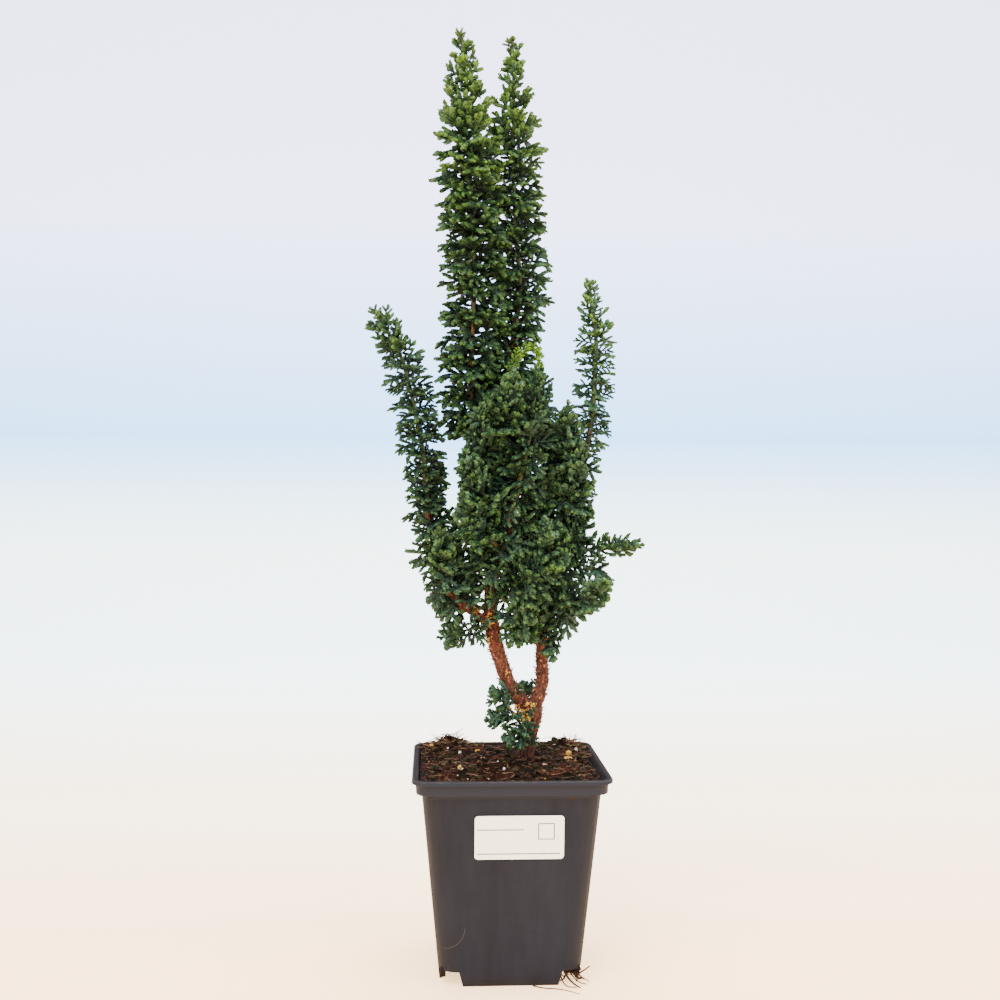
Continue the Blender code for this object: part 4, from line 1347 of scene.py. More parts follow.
def limb_routes() -> dict[str, list[Vector]]:
    """Lay out the woody limbs.

    Returns:
        The route of each, by its name.
    """
    points = {
        "trunk": ((10.6, 6, 97), (11.0, 6, 119), (12.8, 6, 131), (15.0, 5, 140), (15.2, 5, 146)),
        "left": ((15.4, 5, 141), (12.6, 4.6, 146.5), (3.6, 3, 154.6), (-3.8, 2, 171.9), (-10.0, 2, 196.5),
                 (-9.9, 3, 213.5), (-12.6, 3, 255.8), (-15.7, 3, 285), (-18.6, 2, 304)),
        "right": ((15.6, 5, 141), (16.8, 5.6, 147.5), (20.6, 8, 159.4), (20.6, 9, 176), (21.3, 9, 204),
                  (26.3, 10, 238.1), (39.4, 12, 273.7), (46.2, 12, 294)),
        "far_left": ((-8.9, 2, 192), (-17.3, 0, 200), (-24.8, -2, 205), (-34.1, -4, 215.4),
                     (-41.1, -4, 229.8), (-47.1, -2, 258.6)),
        "middle": ((-12.6, 3, 256), (-12.4, 5, 272), (-11, 6.5, 291), (-8.4, 8.5, 306)),
        "front": ((-9.9, 2.6, 207), (-7.5, -6, 224), (-1.5, -11, 246), (1.6, -13.4, 262)),
        "twig": ((24.0, 9.6, 226), (27.6, 6.6, 231.6), (30.5, 5.4, 233.4)),
    }
    return {name: smooth_route(places, 4.0) for name, places in points.items()}


@dataclass
class Bush:
    """The leafy shoots of the bushy middle and the short ones low on the wood."""

    limbs: dict[str, list[Vector]]
    reaching: Shoot = Shoot(  # one for each solid, from its limb through its middle
        (), spacing=(1.6, 1.45), bare=4.0, fresh=(0.11, 0.22), green_from=0.05)
    filling: Shoot = Shoot(  # those that fill the gaps between them
        (), lengths=(16.0, 11.0), growth=16.0, spacing=(1.6, 1.45), bare=3.0, fresh=(0.11, 0.20),
        old_from=12.0, green_from=0.0)
    covering: Shoot = Shoot(  # old sprays on the limb itself
        (), stem=(), lengths=(21.0, 18.0), spacing=(1.7, 1.7), growth=1.0, angles=(78.0, 70.0), old_from=0.0,
        fresh=(0.10, 0.16))
    short: Shoot = Shoot(  # those low on the wood
        (), stem=(1.0, 0.6), lengths=(12.5, 9.5), growth=12.0, spacing=(0.95, 1.0), fresh=(0.09, 0.18),
        bare=2.0, old_from=8.0, silver=0.30, green_from=0.0)
    roots: dict[str, tuple[float, float]] = field(default_factory=lambda: {  # lowest, highest
        "left": (202.0, 298.0), "right": (203.0, 288.0), "far_left": (203.0, 250.0), "middle": (276.0, 300.0),
        "front": (222.0, 256.0)})
    fill: dict[str, tuple[tuple[Point, ...], ...]] = field(default_factory=lambda: {
        "left": (((-10, 3, 214), (-3, -3, 210), (4, -7, 203), (10, -8, 194)),
                 ((-11, 3, 226), (-4, -8, 224), (4, -15, 217), (9, -18, 207))),
        "right": (((21.4, 9, 207), (14, 2, 206), (6, -3, 200), (2, -5, 190)),
                  ((21, 9, 200), (15, 0, 198), (9, -5, 191)),
                  ((26, 9, 228), (38, 3, 231), (48, -2, 227), (53, -4, 219)),
                  ((21.4, 9, 206), (32, 2, 206), (43, -3, 204)),
                  ((22, 8, 262), (25, 3, 278), (28, 1, 292), (30, 0, 304)),
                  ((27, 9, 286), (25, 5, 302), (22, 2, 320), (17, 0, 338))),
    })
    cover: dict[str, tuple[float, float]] = field(default_factory=lambda: {  # from and to which height
        "left": (236.0, 300.0), "right": (206.0, 291.0), "far_left": (206.0, 257.0), "middle": (262.0, 303.0),
        "front": (226.0, 260.0)})
    low: dict[str, tuple[Point, ...]] = field(default_factory=lambda: {
        "low_left_shoot": ((-9.0, 2, 191), (-19, -3, 193.5), (-33, -4, 189)),
        "low_right_shoot": ((20.5, 8, 194), (23.5, 0, 190), (24.5, -7, 182)),
        "fork_shoot": ((19, 8, 151), (16.5, 11, 152.5), (13.5, 13, 155.5)),
        "left_base_shoot": ((15, 5, 139), (5, 1, 142), (-6.5, -1, 140)),
        "left_fork_shoot": ((6.5, 3, 152), (0, -1, 153), (-5.5, -4, 155)),
        "front_base_shoot": ((11, 3, 130), (7.5, -4.5, 134.5), (2.0, -10, 132)),
    })
    low_bare: dict[str, float] = field(default_factory=lambda: {"low_left_shoot": 5.0})
    silver: dict[str, float] = field(default_factory=lambda: {"right": 0.32})
    usual_silver: float = 0.24
    far_spacing: tuple[float, float] = (1.25, 1.25)  # of the cover on the far left limb
    clear_below: float = 218.0  # the left limb shows up to here between its shoots
    bare_low: float = 13.0  # start of a shoot without sprays, below that
    margin: float = 6.0  # between a shoot's tip and the outline
    beyond: float = 1.4  # a tip's distance, as a share of that to the middle
    under_top: float = 12.0  # how far a tip lies under the top of its solid
    tips: dict[str, Point] = field(default_factory=lambda: {  # of the shoots that don't reach so far
        "middle_shoot_2": (15.0, 12.0, 338.0)})
    outline: tuple[Point, ...] = (  # height, and the limits left and right there
        (150, -30, 30), (180, -34, 30), (192, -40, 38), (200, -45, 47), (212, -49, 58), (222, -52, 61),
        (236, -55, 60), (247, -52, 56), (253, -46, 51), (259, -31, 50), (284, -32, 52), (300, -30, 43),
        (316, -34, 39), (330, -37, 27), (360, -37, 21))
    far_outline: tuple[Point, ...] = (
        (180, -36, 0), (195, -40, 0), (205, -47, 0), (215, -50, 0), (236, -56, -8), (254, -54, -25),
        (262, -58, -37), (300, -64, -37))

    def _steps(self, low: float, high: float) -> list[float]:
        """Heights from low to high, ten millimetres apart."""
        count = max(1, round((high - low) / 10))
        return [low + (high - low) * index / count for index in range(count + 1)]

    def _reach(self, root: Vector, node: str, outline: Sequence[Point]) -> tuple[Point, ...]:
        """Route from a limb through the middle of a solid to about its far side.

        Args:
            root: where the shoot leaves its limb.
            node: the solid's name.
            outline: what its tip stays inside.

        Returns:
            The route's points.
        """
        low, high = (Vector(corner) / METRES_PER_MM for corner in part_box(node))
        tip = root + ((low + high) / 2 - root) * self.beyond
        tip.z = high.z - self.under_top
        left, right = limits_at(outline, tip.z)
        tip.x = min(right - self.margin, max(left + self.margin, tip.x))
        tip = Vector(self.tips.get(node, tip))
        stages = ((0.0, 0.0), (0.44, 0.26), (0.8, 0.6), (1.0, 1.0))
        return tuple((*root.lerp(tip, across).xy, root.z + (tip.z - root.z) * up) for across, up in stages)

    def _shoots(self, limb: str, nodes: Sequence[str]) -> list[Shoot]:
        """Lay out the shoots of one limb.

        Args:
            limb: the limb's name.
            nodes: the solids on it, each with its number from the limb's foot upwards.

        Returns:
            A shoot for each solid, those that fill between them, and the cover of the limb.
        """
        numbers = [int(name.rsplit("_", 1)[1]) for name in nodes]
        lowest, highest = self.roots[limb]
        shoots = []
        for name, number in zip(nodes, numbers):
            height = lowest + (highest - lowest) * (number - 1) / max(1, max(numbers) - 1)
            bare = self.bare_low if limb == "left" and height < self.clear_below else self.reaching.bare
            points = self._reach(at_height(self.limbs[limb], height), name, self._outline(limb))
            shoots.append(replace(self.reaching, points=points, bare=bare))
        shoots += [replace(self.filling, points=points) for points in self.fill.get(limb, ())]
        cover = tuple(tuple(at_height(self.limbs[limb], height)) for height in self._steps(*self.cover[limb]))
        spacing = self.far_spacing if limb == "far_left" else self.covering.spacing
        return shoots + [replace(self.covering, points=cover, spacing=spacing)]

    def _outline(self, limb: str) -> tuple[Point, ...]:
        """Choose the outline that a limb's sprays stay inside."""
        return self.far_outline if limb == "far_left" else self.outline

    def build(self, foliage: Foliage) -> None:
        """Build a piece for each limb's shoots and one for each low shoot.

        Args:
            foliage: what grows them.
        """
        for order, limb in enumerate(self.roots):
            nodes = [name for name in sorted(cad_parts) if name.startswith(f"{limb}_shoot_")]
            look = dict(silver=self.silver.get(limb, self.usual_silver), outline=self._outline(limb))
            shoots = [replace(shoot, **look) for shoot in self._shoots(limb, nodes)]
            foliage.piece(f"{limb}_bush_foliage", shoots, "leaf", nodes, SEED + 20 + order)
        for order, (name, points) in enumerate(self.low.items()):
            shoot = replace(self.short, points=points, bare=self.low_bare.get(name, self.short.bare))
            foliage.piece(f"{name}_foliage", [shoot], "leaf", [name], SEED + 40 + order)


# Wood


@dataclass
class Trunk:
    """The trunk and its limbs, with bark that peels in flakes."""

    limbs: dict[str, list[Vector]]
    radii: dict[str, tuple[float, ...]] = field(default_factory=lambda: {  # at even steps along each limb
        "trunk": (4.9, 5.3), "left": (4.1, 4.1, 4.5, 4.0, 3.1, 2.5, 2.2), "right": (3.9, 3.6, 3.2, 2.6, 2.0),
        "far_left": (2.6, 2.1, 1.8), "middle": (2.1, 1.8), "front": (2.3, 1.8), "twig": (1.8, 1.5)})
    sides: int = 12
    voxel: float = 0.85
    smoothing: int = 4
    ridge: float = 0.8  # how high the ridges along the grain stand
    knot: float = 0.6
    flake_every: float = 0.16  # between flakes along a limb
    sparser: float = 2.2  # how much further apart they are on thin wood
    thin: float = 2.6  # largest radius of thin wood
    first_flake: float = 22.0  # along the trunk, where it comes out of the soil
    flake_sizes: tuple[float, float] = (0.75, 1.6)
    flake_shape: Point = (0.85, 1.5, 1.8)
    flake_lift: tuple[float, float] = (8.0, 58.0)  # degrees that they stand off the wood
    flake_turn: float = 28.0  # degrees that they turn aside
    flake_sunk: float = 0.25
    crumb_places: tuple[tuple[float, float, float, int], ...] = (  # middle and number of each cluster
        (-11.5, -2.9, 198.5, 34), (-18.0, -2.3, 203.5, 10), (-10.5, -2.2, 186.0, 8), (-0.6, -1.4, 166.0, 12),
        (6.5, 0.0, 144.5, 36), (10.5, -0.6, 140.5, 56), (13.5, -0.2, 148.0, 24), (1.5, 0.2, 146.0, 8))
    crumb_sizes: tuple[float, float] = (0.8, 2.0)
    crumb_shape: Point = (1.35, 0.8, 0.9)

    def _radius(self, name: str, share: float) -> float:
        """Find how thick a limb is.

        Args:
            name: the limb's name.
            share: the share of its length where it is measured.

        Returns:
            Its radius there.
        """
        values = self.radii[name]
        place = share * (len(values) - 1)
        index = min(int(place), len(values) - 2)
        return blend(values[index], values[index + 1], place - index)

    def _body(self) -> bpy.types.Mesh:
        """Merge the limbs into one skin.

        Returns:
            Its mesh, still smooth.
        """
        gathering = Gathering()
        for name, route in self.limbs.items():
            radii = [self._radius(name, index / (len(route) - 1)) for index in range(len(route))]
            gathering.add(mesh_of(sweep(route, radii, self.sides), "limb"), Matrix.Identity(4))
        holder = holding(gathering.mesh("limbs"))
        remesh = holder.modifiers.new("skin", "REMESH")
        remesh.mode = "VOXEL"
        remesh.voxel_size = self.voxel
        holder.modifiers.new("smooth", "SMOOTH").iterations = self.smoothing
        return modified(holder)

    def _roughen(self, mesh: bpy.types.Mesh) -> None:
        """Raise ridges along the grain and knots, lower ones on the thin wood high up.

        Args:
            mesh: the skin.
        """
        normals = [vert.normal.copy() for vert in mesh.vertices]
        for vert, normal in zip(mesh.vertices, normals):
            x, y, z = vert.co
            ridges = noise.fractal(Vector((x * 0.55, y * 0.55, z * 0.13)), 1.0, 2.0, 3)
            knots = noise.noise(Vector((x * 0.35, y * 0.35, z * 0.25)))
            stout = min(1.0, max(0.35, (230 - z) / 100))
            vert.co = vert.co + normal * (ridges * self.ridge + knots * self.knot) * stout

    def _flake(self) -> bpy.types.Mesh:
        """Curl a thin plate, one millimetre long and wide, that is rooted at its lower end.

        Returns:
            Its mesh.
        """
        bm = bmesh.new()
        bmesh.ops.create_cube(bm, size=1.0)
        thin = Matrix.Translation((0, 0, 0.5)) @ Matrix.Diagonal((1, 0.16, 1, 1))
        bmesh.ops.transform(bm, matrix=thin, verts=bm.verts)
        upright = [edge for edge in bm.edges if abs(edge.verts[0].co.z - edge.verts[1].co.z) > 0.5]
        bmesh.ops.subdivide_edges(bm, edges=upright, cuts=1)
        for vert in bm.verts:
            part = vert.co.z
            vert.co.x *= 1.0 - 0.65 * part * part
            vert.co.y *= 1.0 - 0.5 * part
            vert.co.y -= 0.28 * part * part
        bmesh.ops.recalc_face_normals(bm, faces=bm.faces)
        return mesh_of(bm, "flake")

    def _flakes(self) -> bpy.types.Mesh:
        """Scatter flakes up every limb, thickest low down.

        Returns:
            Their mesh.
        """
        gathering = Gathering()
        flake = self._flake()
        draw = random.Random(SEED + 3)
        for name, route in self.limbs.items():
            frames = frames_along(route)
            lengths = distances(route)
            distance = self.first_flake if name == "trunk" else 0.0
            while distance < lengths[-1]:
                radius = self._radius(name, distance / lengths[-1])
                place = frame_at(route, frames, lengths, distance)
                place = place @ Matrix.Rotation(draw.uniform(0, math.tau), 4, "Z")
                place = place @ Matrix.Translation((0, -(radius - self.flake_sunk), 0))
                place = place @ Matrix.Rotation(math.radians(draw.uniform(*self.flake_lift)), 4, "X")
                turn = math.radians(draw.uniform(-self.flake_turn, self.flake_turn))
                place = place @ Matrix.Rotation(turn, 4, "Y")
                size = draw.uniform(*self.flake_sizes) * min(1.0, 0.45 + radius / 6)
                place = place @ scaled(self.flake_shape, size)
                gathering.add(flake, place, flake=1.0, tone=draw.random() ** 2)
                sparser = 1.0 if radius > self.thin else self.sparser
                distance += self.flake_every * draw.uniform(0.6, 1.4) * sparser
        return gathering.mesh("flakes")

    def _crumbs(self, lumps: Sequence[bpy.types.Mesh]) -> bpy.types.Mesh:
        """Gather clusters of pale crumbs that are caught in the bark.

        Args:
            lumps: rough grains to make them of.

        Returns:
            Their mesh.
        """
        gathering = Gathering()
        draw = random.Random(SEED + 4)
        for x, y, z, count in self.crumb_places:
            spread = 1.9 if count > 12 else 1.1
            for _ in range(count):
                spot = (x + draw.gauss(0, spread), y + draw.gauss(0, 0.9), z + draw.gauss(0, spread))
                size = draw.uniform(*self.crumb_sizes)
                turn = Matrix.Rotation(draw.uniform(0, math.tau), 4, "Y")
                turn = turn @ Matrix.Rotation(draw.uniform(-0.6, 0.6), 4, "X")
                place = Matrix.Translation(spot) @ (turn @ scaled(self.crumb_shape, size))
                gathering.add(draw.choice(lumps), place, tone=draw.random())
        return gathering.mesh("crumbs")

    def build(self, lumps: Sequence[bpy.types.Mesh]) -> None:
        """Build the wood, its flakes and the pale crumbs caught in its bark.

        Args:
            lumps: rough grains to make the crumbs of.
        """
        body = self._body()
        self._roughen(body)
        wood = Gathering()
        wood.add(body, Matrix.Identity(4), flake=0.0, tone=0.0)
        make_piece("trunk_wood", wood.mesh("wood"), (BARK,), ["trunk"])
        make_piece("trunk_flakes", self._flakes(), (BARK,), ["trunk"])
        make_piece("bark_crumbs", self._crumbs(lumps), (RESIN,), [])


# Pot, label and soil


@dataclass
class Pot:
    """The moulded tub, from its solid, with softened edges and small feet under its corners."""

    edge: float = 0.3  # width of its softened edges
    edge_angle: float = math.radians(40)  # of the dullest edge that is softened
    weld: float = 0.001
    rim_from: float = 114.0
    floor_top: float = 20.0  # the walls are darkened inside above this height, by soil and painted shade
    foot_top: float = 10.0  # and the corners of the foot below this one
    foot_corner: tuple[float, float] = (30.0, 32.0)
    feet: tuple[tuple[Point, Point], ...] = (  # middle and size of two blocks under each corner
        ((37.2, 34.6, 7.0), (2.8, 3.4, 5.2)), ((33.2, 34.2, 8.4), (5.6, 2.6, 2.6)))

    def _soil_and_shade(self, face: bpy.types.MeshPolygon) -> bool:
        """Tell whether soil and painted shade darken a face.

        Args:
            face: a face of the tub.

        Returns:
            True inside, on the flat of the rim and at the feet.
        """
        x, y, height = face.center
        inwards = height > self.floor_top and face.normal.xy.dot(face.center.xy) < 0
        on_rim = height > self.rim_from and face.normal.z > 0.9
        at_foot = height < self.foot_top and abs(x) > self.foot_corner[0] and abs(y) > self.foot_corner[1]
        return inwards or on_rim or at_foot

    def build(self) -> None:
        """Build the tub."""
        bm = bmesh.new()
        bm.from_mesh(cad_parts["pot"].data)
        bmesh.ops.scale(bm, vec=(1 / METRES_PER_MM,) * 3, verts=bm.verts)
        bmesh.ops.remove_doubles(bm, verts=bm.verts, dist=self.weld)
        for side_x in (-1, 1):
            for side_y in (-1, 1):
                for middle, size in self.feet:
                    turned = Matrix.Translation((side_x * middle[0], side_y * middle[1], middle[2]))
                    bmesh.ops.create_cube(bm, size=1.0, matrix=turned @ scaled(size, 1.0))
        holder = holding(mesh_of(bm, "tub"))
        bevel = holder.modifiers.new("edges", "BEVEL")
        bevel.width = self.edge
        bevel.segments = 2
        bevel.limit_method = "ANGLE"
        bevel.angle_limit = self.edge_angle
        mesh = modified(holder)
        # mark the faces that soil and painted shade darken
        inside = mesh.attributes.new("inside", "FLOAT", "FACE")
        for face, value in zip(mesh.polygons, inside.data):
            value.value = 1.0 if self._soil_and_shade(face) else 0.0
        make_piece("pot_tub", mesh, (PLASTIC,), ["pot"])


@dataclass
class Label:
    """The sticker on the front wall."""

    width: float = 48.8
    height: float = 24.3
    corner: float = 2.0
    thick: float = 0.16
    place: Point = (3.7, -47.46, 84.1)
    lean: float = math.atan2(10.3, 107.6)  # of the pot's walls
    proud: float = 0.32  # how far it stands off that place

    def build(self) -> None:
        """Build the sticker."""
        bm = bmesh.new()
        bmesh.ops.create_grid(bm, x_segments=1, y_segments=1, size=0.5)
        bmesh.ops.scale(bm, vec=(self.width, self.height, 1), verts=bm.verts)
        bmesh.ops.bevel(bm, geom=list(bm.verts), offset=self.corner, offset_type="OFFSET", segments=6,
                        profile=0.5, affect="VERTICES", material=-1)
        sheet = next(iter(bm.faces))
        extrude_by(bm, sheet, Matrix.Translation((0, 0, self.thick)))
        bmesh.ops.recalc_face_normals(bm, faces=bm.faces)
        upright = Matrix.Rotation(math.radians(90) + self.lean, 4, "X")
        bm.transform(Matrix.Translation(self.place) @ upright @ Matrix.Translation((0, 0, self.proud)))
        make_piece("label_sticker", mesh_of(bm, "sticker"), (STICKER,), ["label"])


@dataclass(frozen=True)
class Grains:
    """One kind of loose grain on the soil."""

    name: str
    finish: Finish
    slot: str
    count: int  # of the small ones
    sizes: tuple[float, float]  # the smallest and largest of them
    shape: Point  # how long they are along each axis
    sunk: float  # how far they sit in the soil, as a share of their size
    large: tuple[Point, ...] = ()  # place and size of each large one
    nodes: tuple[str, ...] = ()  # solids that each get a grain of their size and place


@dataclass
class Soil:
    """The peat that fills the pot, and everything that lies on it."""

    half: float = 50.7  # half the width of its top
    corner: float = 5.8  # radius of its corners there
    sides: tuple[tuple[float, float, float], ...] = (  # half width, corner radius and height, downwards
        (50.7, 5.8, 108.2), (47.0, 8.6, 104.5), (38.2, 8.6, 9.4))
    cells: int = 96  # along one side of its top
    edge_level: float = 112.4
    crown: float = 4.7  # how much higher its middle is
    shoulder: float = 0.38  # share of the way to the middle where it is that high
    mounds: tuple[tuple[float, float, float, float], ...] = (  # place, rise and spread
        (-34.0, 33.0, 6.6, 11.0), (39.0, 35.0, 5.8, 10.0), (-8.0, -20.0, 2.0, 12.0))
    trunk: tuple[float, float, float] = (12.8, 6.0, 7.0)  # place and radius of what is kept clear
    grains: tuple[Grains, ...] = (
        Grains("soil_crumbs", PEAT_CRUMB, "peat", 650, (0.7, 2.2), (1.3, 0.9, 0.7), 0.25),
        Grains("soil_clods", PEAT_CLOD, "peat", 280, (1.8, 4.6), (1.5, 0.9, 0.6), 0.25),
        Grains("soil_chips", CHIP, "bark", 12, (1.0, 2.0), (2.6, 0.6, 0.5), 0.15,
               ((17.5, -31.0, 2.2),), ("wood_chip",)),
        Grains("soil_perlite", PERLITE, "perlite", 8, (0.8, 1.6), (1.1, 1.0, 0.9), 0.2,
               ((-34.3, 23.5, 2.0), (43.3, 26.8, 2.4), (43.9, 21.6, 2.0), (-27.3, 16.3, 2.6)),
               ("perlite_left", "perlite_front")),
        Grains("soil_fertiliser", FERTILISER, "fertiliser", 6, (0.9, 2.0), (1.3, 1.0, 0.9), 0.2,
               ((35.2, -1.8, 4.4), (36.9, -0.6, 3.4), (33.8, -2.9, 3.4), (35.6, -3.8, 3.2), (34.0, -0.3, 3.0),
                (-17.2, 15.0, 3.8), (-28.6, -14.9, 2.6), (-28.5, -31.0, 3.2), (-43.5, 34.0, 4.2)),
               ("fertiliser_pellet",)))

    def level(self, x: float, y: float) -> float:
        """Find how high the soil is, relief included.

        Args:
            x: the place across.
            y: the place along.

        Returns:
            Its height there.
        """
        inwards = 1.0 - max(abs(x), abs(y)) / self.half
        height = self.edge_level + self.crown * min(1.0, max(0.0, inwards) / self.shoulder)
        for mound_x, mound_y, rise, spread in self.mounds:
            height += rise * math.exp(-(math.hypot(x - mound_x, y - mound_y) / spread) ** 2)
        calm = min(1.0, max(0.15, inwards * 9))
        height += noise.fractal(Vector((x * 0.11, y * 0.11, 3.1)), 1.0, 2.0, 3) * 2.2 * calm
        return height + noise.fractal(Vector((x * 0.4, y * 0.4, 9.7)), 0.8, 2.1, 3) * 1.6 * calm

    def _rounded(self, x: float, y: float, half: float, corner: float) -> tuple[float, float]:
        """Pull a place in from the corner of a square onto a rounded one.

        Args:
            x: its place across.
            y: its place along.
            half: half the square's side.
            corner: radius of the rounded corner.

        Returns:
            The place on the rounded square.
        """
        centre = half - corner
        over_x, over_y = abs(x) - centre, abs(y) - centre
        if over_x > 0 and over_y > 0:
            share = max(over_x, over_y) / math.hypot(over_x, over_y)
            return math.copysign(centre + over_x * share, x), math.copysign(centre + over_y * share, y)
        return x, y

    def _block(self) -> bpy.types.Mesh:
        """Make the soil's uneven top, closed by sides that follow the inside of the pot.

        Returns:
            Its mesh.
        """
        bm = bmesh.new()
        bmesh.ops.create_grid(bm, x_segments=self.cells, y_segments=self.cells, size=self.half)
        rings = [list(bm.verts)]
        edges = [edge for edge in bm.edges if edge.is_boundary]
        for _ in self.sides:
            ring, edges = extrude_edges(bm, edges)
            rings.append(ring)
        for vert in rings[0]:
            x, y = self._rounded(vert.co.x, vert.co.y, self.half, self.corner)
            vert.co = (x, y, self.level(x, y))
        for ring, (half, corner, height) in zip(rings[1:], self.sides):
            for vert in ring:
                x, y = (value * half / self.half for value in vert.co.xy)
                vert.co = (*self._rounded(x, y, half, corner), height)
        bmesh.ops.holes_fill(bm, edges=[edge for edge in bm.edges if edge.is_boundary])
        bmesh.ops.recalc_face_normals(bm, faces=bm.faces)
        return mesh_of(bm, "soil")

    def _spot(self, draw: random.Random, margin: float = 3.0) -> Vector:
        """Draw a place on the soil, clear of the trunk.

        Args:
            draw: the random source.
            margin: how far it keeps from the soil's edge.

        Returns:
            The place.
        """
        while True:
            x, y = (draw.uniform(-self.half + margin, self.half - margin) for _ in range(2))
            if math.hypot(x - self.trunk[0], y - self.trunk[1]) > self.trunk[2]:
                return Vector((x, y, self.level(x, y)))

    def _turned(self, draw: random.Random) -> Matrix:
        """Draw a turn."""
        heading = Matrix.Rotation(draw.uniform(0, math.tau), 4, "Z")
        return heading @ Matrix.Rotation(draw.uniform(-0.9, 0.9), 4, "X")

    def _scatter(self, kind: Grains, lumps: Sequence[bpy.types.Mesh]) -> None:
        """Scatter one kind of grain over the soil.

        Args:
            kind: what is scattered.
            lumps: the grains to copy.
        """
        draw = random.Random(kind.name)
        gathering = Gathering()
        for node in kind.nodes:
            low, high = (Vector(corner) / METRES_PER_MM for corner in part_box(node))
            place = Matrix.Translation((low + high) / 2) @ Matrix.Diagonal((*(high - low), 1))
            gathering.add(lumps[0], place, tone=0.5)
        for x, y, size in kind.large:
            spot = Matrix.Translation((x, y, self.level(x, y) + 0.25 * size))
            lump = draw.choice(lumps)
            place = spot @ self._turned(draw) @ scaled(kind.shape, size)
            gathering.add(lump, place, tone=draw.uniform(0.25, 0.75))
        for _ in range(kind.count):
            size = draw.uniform(*kind.sizes)
            spot = self._spot(draw)
            spot.z += size * (0.5 - kind.sunk)
            place = Matrix.Translation(spot) @ self._turned(draw) @ scaled(kind.shape, size)
            gathering.add(draw.choice(lumps), place, tone=draw.random())
        make_piece(kind.name, gathering.mesh(kind.name), (kind.finish,), list(kind.nodes))

    def _fibre(self, draw: random.Random, start: Vector, length: float, lift: float) -> bpy.types.Mesh:
        """One thin, wandering fibre that starts in the soil.

        Args:
            draw: the random source.
            start: where it comes out.
            length: of the fibre.
            lift: how steeply it rises.

        Returns:
            Its mesh.
        """
        heading = draw.uniform(0, math.tau)
        points = [start - Vector((0, 0, 1.0))]
        for _ in range(5):
            heading += draw.uniform(-0.9, 0.9)
            rise = lift * draw.uniform(-0.3, 1.0)
            points.append(points[-1] + Vector((math.cos(heading), math.sin(heading), rise)) * length / 5)
        thick = draw.uniform(0.14, 0.28) * (1.7 if lift > 0.5 else 1.0)
        return mesh_of(sweep(points, tapered(len(points), thick, 0.4 * thick), 3), "fibre")

    def _fibres(self, name: str, finish: Finish, tangled: int, loose: int,
                reach: tuple[float, float]) -> None:
        """Strew fibres, some in tangles on the two back mounds and the rest all over.

        Args:
            name: the piece's name.
            finish: their finish.
            tangled: how many are on the mounds.
            loose: how many lie elsewhere.
            reach: the shortest and longest, in millimetres.
        """
        draw = random.Random(name)
        gathering = Gathering()
        for index in range(tangled + loose):
            if index < tangled:
                mound = self.mounds[index % 2]
                x = max(-self.half + 3, min(self.half - 3, draw.gauss(mound[0], 7)))
                y = max(-self.half + 3, min(self.half - 3, draw.gauss(mound[1], 6)))
                start, lift = Vector((x, y, self.level(x, y))), 0.8
            else:
                start, lift = self._spot(draw, 5.0), 0.3
            fibre = self._fibre(draw, start, draw.uniform(*reach), lift)
            gathering.add(fibre, Matrix.Identity(4), tone=draw.random())
        make_piece(name, gathering.mesh(name), (finish,), [])

    def build(self, lumps: Sequence[bpy.types.Mesh]) -> None:
        """Build the soil and what lies on it.

        Args:
            lumps: rough grains to copy.
        """
        make_piece("soil_peat", self._block(), (PEAT,), ["soil"])
        for kind in self.grains:
            self._scatter(kind, lumps)
        self._fibres("soil_fibres", FIBRE, 240, 860, (4.0, 12.0))
        self._fibres("soil_moss", MOSS, 110, 300, (2.0, 5.5))


